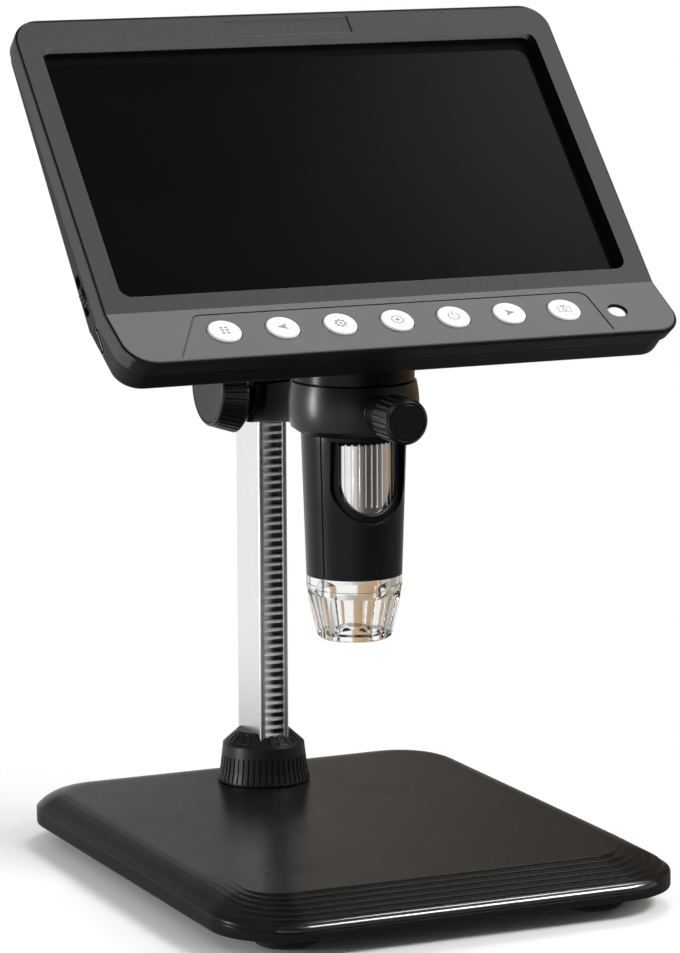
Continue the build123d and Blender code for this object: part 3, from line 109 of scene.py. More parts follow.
def put(tree, kind, settings=None, **inputs):
    """Adds a shader node and fills its inputs.

    They are named as on the node, with _ for a space, or i0, i1 by place.
    """
    made = tree.nodes.new("ShaderNode" + kind)
    for key, value in (settings or {}).items():
        setattr(made, key, value)
    for key, value in inputs.items():
        by_place = key[0] == "i" and key[1:].isdigit()
        fill(tree, made.inputs[int(key[1:]) if by_place else key.replace("_", " ")], value)
    return made


print("put() adds a node in one line")


# %% Arithmetic and mixing
def calc(tree, operation, a, b=0.0, c=0.5):
    """One step of arithmetic between sockets or numbers.  Only MULTIPLY_ADD uses c."""
    return put(tree, "Math", {"operation": operation}, i0=a, i1=b, i2=c).outputs[0]


def product(tree, first, *others):
    """Several values multiplied."""
    for other in others:
        first = calc(tree, "MULTIPLY", first, other)
    return first


def spread(tree, value, low, high, to_low=0.0, to_high=1.0):
    """Stretches the range low to high over to_low to to_high, and clamps what lies outside."""
    return put(
        tree, "MapRange", Value=value, From_Min=low, From_Max=high, To_Min=to_low, To_Max=to_high
    ).outputs[0]


def along(tree, vector, way):
    """How far a place or a direction reaches along a way."""
    return put(
        tree, "VectorMath", {"operation": "DOT_PRODUCT"}, i0=vector, i1=way
    ).outputs["Value"]


def blend_values(tree, share, one, other):
    """Mixes two values by a share of the second."""
    return put(tree, "Mix", Factor=share, A=one, B=other).outputs[0]


def blend_colours(tree, share, one, other):
    """Mixes two colours by a share of the second."""
    made = put(tree, "Mix", {"data_type": "RGBA"}, Factor=share)
    fill(tree, made.inputs[6], one)
    fill(tree, made.inputs[7], other)
    return made.outputs[2]


print("calc, product, spread, along and two blends are ready")


# %% Node groups
def new_group(name, inputs, outputs):
    """An empty node group with named sockets, its input node, and a way to set its outputs."""
    tree = bpy.data.node_groups.new(name, "ShaderNodeTree")
    for title, value in inputs.items():
        kind = "NodeSocketVector" if isinstance(value, tuple) else "NodeSocketFloat"
        tree.interface.new_socket(title, in_out="INPUT", socket_type=kind).default_value = value
    for title, kind in outputs.items():
        tree.interface.new_socket(title, in_out="OUTPUT", socket_type="NodeSocket" + kind)
    return tree, tree.nodes.new("NodeGroupInput").outputs, tree.nodes.new("NodeGroupOutput").inputs


def use_group(tree, group, **values):
    """Places a node group in a material and returns its outputs."""
    made = tree.nodes.new("ShaderNodeGroup")
    made.node_tree = group
    for key, value in values.items():
        made.inputs[key.replace("_", " ")].default_value = value
    return made.outputs


print("groups can be made and placed")

# %% [markdown]
# ## Shared effects
#
# A few effects turn up on nearly every piece, so each is a node group with named
# inputs, built once.  Images could carry them, but an image has one scale and needs
# a layout on every piece, while a group works in the object's own metres.
#
# The first is the fine grain that a mould or a powder coat leaves.  A noise gives
# its speckle, and rounded cells mixed into it give the small pits.  A noise stays
# mostly between 0.3 and 0.7, so here and below spread() stretches about that range.

# %% Grain of a moulded or powder-coated surface
grain, given, gives = new_group(
    "mould grain", {"Grains per metre": 3000.0}, {"Height": "Float", "Speckle": "Float"}
)
PIT_SCALE, PIT_SHARE = 0.45, 0.4        # the pits are wider than the grain, and weaker
place = put(grain, "TexCoord").outputs["Object"]
fine = put(
    grain, "TexNoise", Vector=place, Scale=given["Grains per metre"], Detail=3.0, Roughness=0.55
).outputs[0]
pits = put(
    grain, "TexVoronoi", {"feature": "SMOOTH_F1"}, Vector=place,
    Scale=calc(grain, "MULTIPLY", given["Grains per metre"], PIT_SCALE), Smoothness=0.6,
).outputs["Distance"]
grain.links.new(spread(grain, fine, 0.35, 0.7), gives["Speckle"])
grain.links.new(blend_values(grain, PIT_SHARE, fine, pits), gives["Height"])
print("grain nodes:", len(grain.nodes))

# %% [markdown]
# Hands leave faint smears on all that they turn or press.  They could be spots of
# colour, but grease shows in the gloss alone, so this group gives a mask for the
# roughness.

# %% Smears that hands leave
smears, given, gives = new_group("hand smears", {"Smears per metre": 26.0}, {"Smear": "Float"})
broad = put(
    smears, "TexNoise", Vector=put(smears, "TexCoord").outputs["Object"],
    Scale=given["Smears per metre"], Detail=5.0, Roughness=0.62, Distortion=0.8,
).outputs[0]
smears.links.new(spread(smears, broad, 0.3, 0.72), gives["Smear"])
print("smear nodes:", len(smears.nodes))

# %% [markdown]
# Outside edges are never truly sharp: a small rounding catches the light, and
# handling polishes it.  Real bevels would change the CAD meshes, which stay fixed,
# so the Bevel node rounds only the normal.  Where that leaves the true normal there
# is an edge, and the difference is the mask.

# %% Rounded and polished edges
edges, given, gives = new_group(
    "soft edges", {"Radius": 0.0002}, {"Normal": "Vector", "Edge": "Float"}
)
FLAT, FULL_EDGE = 0.995, 0.86           # how far the two normals agree
rounded = put(edges, "Bevel", {"samples": 6}, Radius=given["Radius"]).outputs[0]
agreement = along(edges, rounded, put(edges, "NewGeometry").outputs["Normal"])
edges.links.new(rounded, gives["Normal"])
edges.links.new(spread(edges, agreement, FLAT, FULL_EDGE), gives["Edge"])
print("edge nodes:", len(edges.nodes))

# %% [markdown]
# Metal that is drawn, turned or ground shows lines along the way that the tool ran.
# An anisotropic shader has the right gleam but no single lines, so a noise that is
# stretched along one axis draws them.

# %% Tool lines on metal
lines, given, gives = new_group(
    "tool lines", {"Lines": (6000.0, 6000.0, 60.0)}, {"Height": "Float", "Tone": "Float"}
)
scaled = put(
    lines, "VectorMath", {"operation": "MULTIPLY"}, i0=put(lines, "TexCoord").outputs["Object"],
    i1=given["Lines"],
).outputs[0]
streaks = put(lines, "TexNoise", Vector=scaled, Scale=1.0, Detail=4.0, Roughness=0.7).outputs[0]
lines.links.new(streaks, gives["Height"])
lines.links.new(spread(lines, streaks, 0.3, 0.7), gives["Tone"])
print("line nodes:", len(lines.nodes))

# %% [markdown]
# Dust settles on surfaces that face up, in specks that gather in drifts.  Specks
# spread evenly would look like noise, so a second, slow noise thins them out.

# %% Dust that settles on surfaces that face up
dust, given, gives = new_group("settled dust", {"Specks per metre": 900.0}, {"Dust": "Float"})
DRIFTS_PER_METRE = 14.0
upward = put(dust, "SeparateXYZ", i0=put(dust, "NewGeometry").outputs["Normal"]).outputs["Z"]
place = put(dust, "TexCoord").outputs["Object"]
specks = put(dust, "TexNoise", Vector=place, Scale=given["Specks per metre"], Detail=6.0)
drifts = put(dust, "TexNoise", Vector=place, Scale=DRIFTS_PER_METRE, Detail=2.0)
lying = product(
    dust, spread(dust, specks.outputs[0], 0.56, 0.74), spread(dust, drifts.outputs[0], 0.3, 0.7),
    spread(dust, upward, 0.35, 0.95),
)
dust.links.new(lying, gives["Dust"])
print("shared effects:", [group.name for group in bpy.data.node_groups])

# %% [markdown]
# ## Two families of finish
#
# Most pieces are either moulded or coated, or bare metal.  Each finish could be a
# material of its own, but they differ only in a few numbers, so one function makes
# each family and a finish is one call.  The Principled BSDF stays in the material,
# and the groups only feed its colour, roughness and normal.

# %% Helpers for materials
def shade(colour, share):
    """A colour made lighter or darker."""
    return (*(channel * share for channel in colour), 1)


def start_material(name):
    """A new material, with its tree and its Principled shader."""
    material = bpy.data.materials.new(name)
    material.use_nodes = True
    tree = material.node_tree
    return material, tree, tree.nodes["Principled BSDF"]


def relief(tree, shader, height, depth, normal):
    """A bump over the rounded edges.  depth is in millimetres."""
    bump = put(tree, "Bump", Strength=1.0, Distance=depth * MM, Height=height, Normal=normal)
    tree.links.new(bump.outputs[0], shader.inputs["Normal"])


print("materials can be started")

# %% Plastics, coatings and rubber
SPECKLE = 0.10                          # how far the grain's tone goes, each way
# Edges are painted lighter: a painted highlight where the small rounding catches light.
EDGE_HIGHLIGHT_SHARE, EDGE_POLISH = 0.5, 0.08     # how much lighter and smoother an edge gets
DUST_COLOUR, DUST_ROUGHNESS = (0.32, 0.30, 0.28, 1), 0.5


def coated(
    name, colour, roughness, grains=3000.0, depth=0.02, edge=0.25, smear=0.06, dusty=0.10,
    edge_highlight=1.7, coat=0.0, specular=0.25,
):
    """A moulded, painted or powder-coated finish.  depth and edge are in millimetres."""
    material, tree, shader = start_material(name)
    texture = use_group(tree, grain, Grains_per_metre=grains)
    handled = use_group(tree, smears)
    rim = use_group(tree, edges, Radius=edge * MM)
    dusted = calc(tree, "MULTIPLY", use_group(tree, dust)["Dust"], dusty)

    tone = blend_colours(
        tree, texture["Speckle"], shade(colour, 1 - SPECKLE), shade(colour, 1 + SPECKLE)
    )
    # Painted highlight: the edges are painted lighter, up to edge_highlight times the colour.
    highlight_share = calc(tree, "MULTIPLY", rim["Edge"], EDGE_HIGHLIGHT_SHARE)
    edge_highlighted = blend_colours(tree, highlight_share, tone, shade(colour, edge_highlight))
    tree.links.new(blend_colours(tree, dusted, edge_highlighted, DUST_COLOUR), shader.inputs["Base Color"])

    gloss = calc(tree, "MULTIPLY_ADD", handled["Smear"], smear, roughness - smear / 2)
    polished = calc(tree, "SUBTRACT", gloss, calc(tree, "MULTIPLY", rim["Edge"], EDGE_POLISH))
    dulled = calc(tree, "ADD", polished, calc(tree, "MULTIPLY", dusted, DUST_ROUGHNESS))
    tree.links.new(dulled, shader.inputs["Roughness"])

    relief(tree, shader, texture["Height"], depth, rim["Normal"])
    shader.inputs["Coat Weight"].default_value = coat
    shader.inputs["Specular IOR Level"].default_value = specular
    return material


print("coated() makes plastics, paints and rubber")

# %% Metals
BRIGHT_EDGE = 1.15                      # an edge painted lighter: partly wear, partly a painted highlight
LINE_ROUGHNESS = 0.05                   # how much rougher the lines are


def metal(
    name, colour, roughness, run=(6000.0, 6000.0, 60.0), depth=0.004, edge=0.15, smear=0.08,
    tone=0.12, metallic=1.0,
):
    """Bare or plated metal with tool lines.  depth and edge are in millimetres."""
    material, tree, shader = start_material(name)
    tooled = use_group(tree, lines, Lines=run)
    handled = use_group(tree, smears)
    rim = use_group(tree, edges, Radius=edge * MM)

    streaked = blend_colours(tree, tooled["Tone"], shade(colour, 1 - tone), shade(colour, 1 + tone))
    # The edges are painted lighter: partly wear, partly a painted highlight.
    worn_and_highlighted = blend_colours(tree, rim["Edge"], streaked, shade(colour, BRIGHT_EDGE))
    tree.links.new(worn_and_highlighted, shader.inputs["Base Color"])

    gloss = calc(tree, "MULTIPLY_ADD", handled["Smear"], smear, roughness - smear / 2)
    lined = calc(tree, "MULTIPLY_ADD", tooled["Tone"], LINE_ROUGHNESS, gloss)
    tree.links.new(lined, shader.inputs["Roughness"])

    relief(tree, shader, tooled["Height"], depth, rim["Normal"])
    shader.inputs["Metallic"].default_value = metallic
    return material


print("metal() makes bare and plated metals")

# %% [markdown]
# ## The finishes of this microscope
#
# Stand, arm, barrel and rear shell are four blacks that differ more in their gloss
# than in their colour: the stand is satin, the arm has the strongest sheen, and the
# shell is dull.  One black for all would be quicker, but then the pieces run
# together.  The rack's steel is only partly metallic, because its many small faces
# would otherwise mirror nothing but dark.  The charging port sits in a shaded slot,
# and its steel is painted much darker than the rest: a painted shade for that slot.

# %% Moulded, painted and rubber finishes
# After the colour come roughness, grains per metre, grain depth and edge radius.
finishes = {
    "stand_black": coated(
        "stand black", (0.0085, 0.0080, 0.0075), 0.27, 2600, 0.004, 0.3, dusty=0.03, specular=0.10
    ),
    "cap_black": coated("cap black", (0.0070, 0.0070, 0.0075), 0.38, 3000, 0.012, 0.2),
    "arm_black": coated(
        "arm black", (0.0045, 0.0045, 0.0048), 0.30, 3600, 0.006, 0.35, specular=0.34
    ),
    "barrel_black": coated(
        "barrel black", (0.0050, 0.0050, 0.0054), 0.26, 4200, 0.004, 0.3, specular=0.15
    ),
    "case_grey": coated(
        "case grey", (0.065, 0.065, 0.067), 0.46, 2400, 0.020, 0.25, specular=0.08
    ),
    "shell_black": coated(
        "shell black", (0.0050, 0.0050, 0.0052), 0.46, 2400, 0.022, 0.25, specular=0.12
    ),
    "button_white": coated(
        "button white", (0.78, 0.78, 0.78), 0.34, 5000, 0.003, 0.2, smear=0.10, dusty=0.03,
        edge_highlight=1.05,
    ),
    "lens_white": coated(
        "light guide white", (0.90, 0.90, 0.90), 0.30, 4000, 0.003, 0.2, dusty=0.0, edge_highlight=1.0
    ),
    "rubber": coated("foot rubber", (0.013, 0.013, 0.013), 0.72, 2200, 0.030, 0.4, dusty=0.25),
    "chip_black": coated("chip black", (0.020, 0.020, 0.023), 0.55, 5000, 0.006, 0.1),
    "backlight": coated("backlight frame", (0.42, 0.43, 0.45), 0.40, 3000, 0.006, 0.2),
    "board_green": coated("board green", (0.012, 0.110, 0.045), 0.34, 1800, 0.006, 0.1, coat=0.3),
    "led_yellow": coated("diode yellow", (0.85, 0.72, 0.30), 0.25, 4000, 0.003, 0.1, dusty=0.0),
    "liner": coated("liner strip", (0.06, 0.06, 0.06), 0.30, 3000, 0.006, 0.1),
    "flex_amber": coated("flex amber", (0.42, 0.19, 0.04), 0.30, 2500, 0.004, 0.05),
}
print("coated finishes:", len(finishes))

# %% Metals of the column, the rack and the small fittings
# After the colour come roughness, lines per metre each way, line depth and edge radius.
finishes |= {
    "aluminium": metal(
        "drawn aluminium", (0.80, 0.80, 0.80), 0.24, (5200, 5200, 30), 0.002, 0.5, tone=0.04
    ),
    "steel": metal("plated steel", (0.60, 0.60, 0.62), 0.28, (1800, 1800, 1800)),
    # Painted shade: the port's steel is far darker than the plated steel, for its shaded slot.
    "port_shaded_steel": metal("steel with painted shade", (0.14, 0.14, 0.145), 0.42, (1800, 1800, 1800)),
    "rack_steel": metal(
        "cut steel", (0.95, 0.95, 0.95), 0.30, (300, 5000, 5000), 0.006, 0.1, metallic=0.35
    ),
    "knob_disc": metal("spun disc", (0.026, 0.026, 0.027), 0.36, (2500, 2500, 2500), 0.003, 0.3),
    "wheel_chrome": metal(
        "bright chrome", (0.92, 0.92, 0.93), 0.20, (900, 900, 40), 0.0006, 0.15, 0.05, 0.02
    ),
    "battery_foil": metal("cell foil", (0.55, 0.56, 0.58), 0.35, (700, 700, 700), 0.010),
    "bronze": metal("sintered bronze", (0.50, 0.31, 0.13), 0.42, (3000, 3000, 3000), 0.006),
    "insert_brass": metal("turned brass", (0.72, 0.52, 0.22), 0.28, (3000, 3000, 3000), 0.004),
}
print("with the metals:", len(finishes))

# %% [markdown]
# ## Clear and polished pieces
#
# The nose is a clear acrylic cup and the lenses are coated glass.  A see-through mix
# could fake them on thin shells, but real transmission bends what lies behind, and
# the CAD solids have the thickness that it needs.  The display is a sheet of glass
# over a black panel, and nothing shows through, so glossy black is enough.  Smears
# and a trace of dust keep the gloss from looking dead.

# %% Clear nose and lens glass
CLEAR_SMEARS, CLEAR_WAVES = 60.0, 420.0     # both per metre
CLEAR_EDGE = 0.12 * MM
SMEAR_TONE, SMEAR_DULLS = 0.97, 2.2         # a smear against the clean surface


def clear(name, colour, roughness, ior, depth):
    """A clear solid with faint moulding waves and smears.  depth is in millimetres."""
    material, tree, shader = start_material(name)
    smear = use_group(tree, smears, Smears_per_metre=CLEAR_SMEARS)["Smear"]
    rim = use_group(tree, edges, Radius=CLEAR_EDGE)
    waves = use_group(tree, grain, Grains_per_metre=CLEAR_WAVES)["Height"]
    tinged = blend_colours(tree, smear, (*colour, 1), shade(colour, SMEAR_TONE))
    tree.links.new(tinged, shader.inputs["Base Color"])
    dulled = spread(tree, smear, 0, 1, roughness, roughness * SMEAR_DULLS)
    tree.links.new(dulled, shader.inputs["Roughness"])
    relief(tree, shader, waves, depth, rim["Normal"])
    shader.inputs["Transmission Weight"].default_value = 1.0
    shader.inputs["IOR"].default_value = ior
    return material


finishes["clear_nose"] = clear("clear acrylic", (0.97, 0.975, 0.97), 0.03, 1.40, 0.010)
finishes["optic_glass"] = clear("coated glass", (0.90, 0.95, 0.98), 0.01, 1.52, 0.0005)
print("clear finishes: nose and lenses")

# %% Display glass
PANEL_BLACK, GLASS_DUST = (0.0035, 0.0035, 0.0040, 1), (0.25, 0.25, 0.25, 1)
DUST_ON_GLASS = 0.05
CLEAN_GLASS, SMEARED_GLASS = 0.08, 0.13     # roughness

finishes["screen_glass"], tree, shader = start_material("display glass")
smear = use_group(tree, smears, Smears_per_metre=18.0)["Smear"]
specks = use_group(tree, dust, Specks_per_metre=2200.0)["Dust"]
tree.links.new(
    blend_colours(tree, calc(tree, "MULTIPLY", specks, DUST_ON_GLASS), PANEL_BLACK, GLASS_DUST),
    shader.inputs["Base Color"],
)
tree.links.new(spread(tree, smear, 0, 1, CLEAN_GLASS, SMEARED_GLASS), shader.inputs["Roughness"])
shader.inputs["Specular IOR Level"].default_value = 0.28
print("finishes:", len(finishes))

# %% [markdown]
# ## The two tones of the front frame
#
# The display frame is one black moulding.  Its face, its chin and its outer sides
# are sprayed a speckled grey, and the grey is darker on the sides: painted shade.
# The chin is lighter grey, partly its own paint and partly a painted sheen from the
# light above.  The spray stops short of the face's rim, and the window's walls and
# the underside of the chin stay black, but the wall under the window's top edge, a
# narrow ledge, gets a painted highlight in light grey.  Cutting the frame into
# pieces would give the tones, but the real one is a single moulding, so a mask
# from the surface's own direction and place tells them apart.

# %% Ways that the frame faces, and where it ends
FACE_TILT, CHIN_TILT = radians(46.84), radians(28.77)
FACE_WAY = (0, -sin(FACE_TILT), cos(FACE_TILT))     # straight out of the face
FACE_UP = (0, cos(FACE_TILT), sin(FACE_TILT))       # up along the face
CHIN_WAY = (0, -sin(CHIN_TILT), cos(CHIN_TILT))     # straight out of the chin
ABOVE_CHIN = 0.20                                   # metres up, where all is face

corners = [vertex.co for vertex in nodes["front_bezel"].data.vertices]
face_out = max(corner.dot(Vector(FACE_WAY)) for corner in corners if corner.z > ABOVE_CHIN)
face_top = max(corner.dot(Vector(FACE_UP)) for corner in corners)
print("face reaches", round(face_out / MM, 1), "mm out and", round(face_top / MM, 1), "mm up")

# %% Where the spray lies
FACE_SPRAYED, CHIN_SPRAYED = (0.95, 0.98), (0.97, 0.99)     # how squarely a surface faces out
RIM_AT_TOP = (face_top - 1.1 * MM, face_top - 1.3 * MM)     # the bare rim ends here
RIM_AT_SIDE = (84.75 * MM, 84.6 * MM)                       # the same, from the middle
OUTER_SIDE, SIDEWAYS = 82.0 * MM, (0.74, 0.80)

tree = finishes["case_grey"].node_tree
shader = tree.nodes["Principled BSDF"]
grey = shader.inputs["Base Color"].links[0].from_socket
frame_spot = put(tree, "TexCoord").outputs
normal = frame_spot["Normal"]
x, _, z = put(tree, "SeparateXYZ", i0=frame_spot["Object"]).outputs
normal_x = put(tree, "SeparateXYZ", i0=normal).outputs["X"]
from_middle = calc(tree, "ABSOLUTE", x)
to_chin = along(tree, normal, CHIN_WAY)
to_front = calc(tree, "MAXIMUM", along(tree, normal, FACE_WAY), to_chin)

within_rim = product(
    tree, spread(tree, along(tree, frame_spot["Object"], FACE_UP), *RIM_AT_TOP),
    spread(tree, from_middle, *RIM_AT_SIDE),
)
front_share = product(tree, spread(tree, to_front, *FACE_SPRAYED), within_rim)
side_share = product(
    tree, calc(tree, "GREATER_THAN", from_middle, OUTER_SIDE),
    spread(tree, calc(tree, "ABSOLUTE", normal_x), *SIDEWAYS),
)
print("masks of the spray: front and sides")

# %% A painted highlight on the window's ledge
LEDGE_FACES = (-0.7, -0.9)                                  # down along the face
LEDGE_DEPTH = (face_out - 2.6 * MM, face_out - 2.4 * MM)
# Painted highlight: the ledge under the window's top edge is painted light grey.
ledge_highlight_share = product(
    tree, spread(tree, along(tree, normal, FACE_UP), *LEDGE_FACES),
    calc(tree, "GREATER_THAN", z, ABOVE_CHIN),
    spread(tree, along(tree, frame_spot["Object"], FACE_WAY), *LEDGE_DEPTH),
)
print("ledge:", round((face_out - LEDGE_DEPTH[1]) / MM, 1), "mm of the top wall")

# %% The frame's colours, from the bare plastic up
# The ledge's light grey is a painted highlight.
BARE, PAINTED_LEDGE_HIGHLIGHT = (0.0060, 0.0060, 0.0062, 1), (0.24, 0.24, 0.245, 1)
# The chin is lighter grey: partly its own paint, partly a painted sheen from the light above.
CHIN_GREY_AND_SHEEN = (0.118, 0.118, 0.120, 1)
SIDE_GREY_SHARE = 0.56                                           # less grey on the sides: painted shade
# Painted shade: the outer sides take only part of the grey, so they are darker.
shaded_sides = blend_colours(tree, calc(tree, "MULTIPLY", side_share, SIDE_GREY_SHARE), BARE, grey)
unsprayed_with_painted_light = blend_colours(tree, ledge_highlight_share, shaded_sides, PAINTED_LEDGE_HIGHLIGHT)
# Painted sheen, in part: the chin takes the lighter grey.
sprayed_with_chin_sheen = blend_colours(tree, spread(tree, to_chin, *CHIN_SPRAYED), grey, CHIN_GREY_AND_SHEEN)
tree.links.new(blend_colours(tree, front_share, unsprayed_with_painted_light, sprayed_with_chin_sheen), shader.inputs["Base Color"])
print("front frame: grey on its face, chin and sides")

# %% [markdown]
# ## Painted shade in the rack
#
# The rack is a bar of cut steel.  The gaps between its teeth are painted dark: a
# painted shade for the shadow in them, while the teeth keep the steel's colour.  A
# node that measures how hidden a place is could find the gaps, but it is slow.  The
# tips lie in one plane, so the depth behind it is enough.  The painted shade is
# darkest on the right, a painted shadow from the rack's right side.

# %% Painted shade in the gaps between the teeth
rack_low, rack_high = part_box("rack")
rack_middle = (rack_low.x + rack_high.x) / 2
GAP_DEPTH = (rack_low.y + 0.4 * MM, rack_low.y + 1.0 * MM)
SHADE_TOWARDS_RIGHT = (rack_middle - 1.0 * MM, rack_middle + 1.2 * MM, 0.10, 1.0)
GAP_SHADE_COLOUR = (0.02, 0.02, 0.02, 1)

tree = finishes["rack_steel"].node_tree
shader = tree.nodes["Principled BSDF"]
cut_steel = shader.inputs["Base Color"].links[0].from_socket
x, y, _ = put(tree, "SeparateXYZ", i0=put(tree, "TexCoord").outputs["Object"]).outputs
# Painted shade: dark in the gaps behind the tips, darkest towards the right.
painted_gap_shade = product(tree, spread(tree, y, *GAP_DEPTH), spread(tree, x, *SHADE_TOWARDS_RIGHT))
tree.links.new(blend_colours(tree, painted_gap_shade, cut_steel, GAP_SHADE_COLOUR), shader.inputs["Base Color"])
print("rack:", round((rack_high.x - rack_low.x) / MM, 1), "mm wide")

# %% [markdown]
# ## Finishes on the CAD pieces
#
# The record names a material slot for each piece, so one loop can hand out the
# finishes, and no piece is forgotten.  Only the charging port takes another one: the
# same steel painted darker, as painted shade.

# %% Handing out the finishes
for subpart in frame["record"]["subparts"]:
    mesh = nodes[subpart["node"]].data
    mesh.materials.clear()
    # The charging port gets the steel with painted shade.
    in_slot = subpart["node"] == "usb_port"
    mesh.materials.append(finishes["port_shaded_steel" if in_slot else subpart["material_slot"]])

# %% [markdown]
# ## The stand's cover
#
# The cover is a black casting.  Its crown is a soft curve at the sides and the back,
# and at the front it becomes six shallow steps that fade out round the corners.  A
# bevel can't fade like that, so the skin is a loft: closed rings at rising insets,
# each ring a rounded rectangle.  Every ring point has two heights, one on the curve
# and one on the steps, and its place round the rim says how much it takes of each.

# %% Sizes of the cover
cover_low, cover_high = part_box("base_cover")
CREASE = 10.4 * MM                      # the top of the upright rim
RIM_CORNER = 21.5 * MM
STEPS, FIRST_STEP, TREAD = 6, 2.5 * MM, 3.0 * MM
STEP_RISE = (cover_high.z - CREASE) / STEPS
STEP_DRAFT = 0.25 * MM                  # how far a riser leans back
STEP_ROUND = 0.6 * MM                   # length of the rounding above a riser
STEP_REACH = FIRST_STEP + (STEPS - 1) * TREAD + STEP_ROUND
CROWN_REACH = 13.0 * MM                 # how far the soft curve runs in at the sides
CROWN_POWER = 3.0
CORNER_LOSS = 11.5 * MM                 # how much tighter the last front corner is
UNDER_ROUND, UNDER_MIDDLE = 0.6 * MM, 0.15 * MM     # the edge that faces the table
GROOVE = 0.3 * MM
LIP_ROUND = 2.2 * MM                    # rounding of the front's lowest edge
SIDE_ROUND, SIDE_RUN = 0.1 * MM, 0.12 * MM          # the same at the sides, up and in
POCKET_WALL, POCKET_ROOF = 2.5 * MM, 7.7 * MM       # the hollow underneath
print("each step rises", round(STEP_RISE / MM, 2), "mm")

# %% The two profiles, as insets and heights in step with each other
GROOVE_SHAPE = ((0.50, 0), (0.38, 0.7), (0.25, 1), (0.12, 0.7), (0.0, 0))   # drop in mm, share
RISER = (                               # run in, and share of the rise
    (-0.18 * STEP_DRAFT, 0), (0.0, 0.04), (0.1 * STEP_DRAFT, 0.2), (0.3 * STEP_ROUND, 0.78),
    (0.45 * STEP_ROUND, 0.93), (0.7 * STEP_ROUND, 1),
)
LIP_POINTS = 5


def crown_height(inset):
    """Height of the soft curve at an inset from the side."""
    share = 1 - min(inset / CROWN_REACH, 1)
    return CREASE + (cover_high.z - CREASE) * (1 - share**CROWN_POWER)


def lip(groove_top, rounding):
    """Rim from the underside up, a groove, and the rounded edge above it."""
    points = [
        (UNDER_ROUND, cover_low.z), (UNDER_MIDDLE, cover_low.z + UNDER_MIDDLE),
        (0, cover_low.z + UNDER_ROUND),
    ]
    points += [(depth * GROOVE, groove_top - drop * MM) for drop, depth in GROOVE_SHAPE]
    for i in range(1, LIP_POINTS + 1):
        turn = radians(90 * i / LIP_POINTS)
        points.append((rounding * (1 - cos(turn)), groove_top + (CREASE - groove_top) * sin(turn)))
    return points


front_profile = lip(CREASE - LIP_ROUND, LIP_ROUND)
side_profile = lip(CREASE - SIDE_ROUND, SIDE_RUN)
for step in range(STEPS):
    for run, rise in RISER:
        inset = FIRST_STEP + step * TREAD + run
        front_profile.append((inset, CREASE + step * STEP_RISE + rise * STEP_RISE))
        across = inset * CROWN_REACH / STEP_REACH
        side_profile.append((across, crown_height(across)))
print("profile points:", len(front_profile))

# %% One ring of the loft
FADE_LENGTH = 22.0 * MM                 # how far the steps run back along the sides
FADE_PLACES = (0.12, 0.25, 0.4, 0.55, 0.7, 0.85, 1.0)
FADE_POWER = 1.5
CORNER_TAKES, SIDE_TAKES = 0.8, 0.2     # how much of the fade lies in each
FRONT_ARC, REAR_ARC = 21, 13            # points round a corner


def corner_arc(x, y, radius, start, count):
    """A quarter turn of points about a corner's centre, from a start angle."""
    turns = [radians(start + 90 * i / (count - 1)) for i in range(count)]
    return [(x + radius * cos(turn), y + radius * sin(turn)) for turn in turns]


def ring(front, side):
    """A closed ring through a point of each profile."""
    half_x, rear_y = cover_high.x - side[0], cover_high.y - side[0]
    front_y = cover_low.y + front[0]
    tight = RIM_CORNER - CORNER_LOSS * min(max(front[0], 0) / STEP_REACH, 1)
    wide = RIM_CORNER - side[0]
    points = [((0, front_y), 1.0), (((half_x - tight) / 2, front_y), 1.0)]
    front_corner = corner_arc(half_x - tight, front_y + tight, tight, -90, FRONT_ARC)
    for i, place in enumerate(front_corner):
        points.append((place, 1 - CORNER_TAKES * (i / (FRONT_ARC - 1)) ** FADE_POWER))
    for share in FADE_PLACES:
        back = front_y + tight + share * FADE_LENGTH
        points.append(((half_x, back), SIDE_TAKES * (1 - share) ** FADE_POWER))
    rear_corner = corner_arc(half_x - wide, rear_y - wide, wide, 0, REAR_ARC)
    points += [(place, 0.0) for place in rear_corner]
    points.append(((0, rear_y), 0.0))
    right_half = [(x, y, side[1] + (front[1] - side[1]) * share) for (x, y), share in points]
    return right_half + [(-x, y, z) for x, y, z in right_half[-2:0:-1]]


print("points in a ring:", len(ring(front_profile[0], side_profile[0])))

# %% The cover's skin
skin = bmesh.new()
rows = [
    [skin.verts.new(point) for point in ring(front, side)]
    for front, side in zip(front_profile, side_profile)
]
for z in (cover_low.z, POCKET_ROOF):
    pocket = (POCKET_WALL, z)
    rows.insert(0, [skin.verts.new(point) for point in ring(pocket, pocket)])
for lower, upper in zip(rows, rows[1:]):
    for i in range(len(lower)):
        following = (i + 1) % len(lower)
        skin.faces.new((lower[i], lower[following], upper[following], upper[i]))
skin.faces.new(rows[-1])
skin.faces.new(rows[0][::-1])
bmesh.ops.recalc_face_normals(skin, faces=skin.faces)
cover_mesh = bpy.data.meshes.new("stand_cover")
skin.to_mesh(cover_mesh)
skin.free()
cover_mesh.shade_smooth()
cover_mesh.materials.append(finishes["stand_black"])
print("cover faces:", len(cover_mesh.polygons))

# %% The cover in its place
cover = bpy.data.objects.new("stand_cover", cover_mesh)
bpy.context.scene.collection.objects.link(cover)
cover.modifiers.new("flat treads", "WEIGHTED_NORMAL").keep_sharp = False
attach(cover, "stand")
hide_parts("base_cover")
print("the skin stands for base_cover")

# %% [markdown]
# ## The rubbed front lip
#
# Sleeves and wrists rub the rounded edge at the front of the stand, so it is
# glossier than the rest and shows a bright line.  A second material would end with a
# hard line.  A clear coat fades in softly, because its weight is a mask made of the
# height and of the distance from the front.

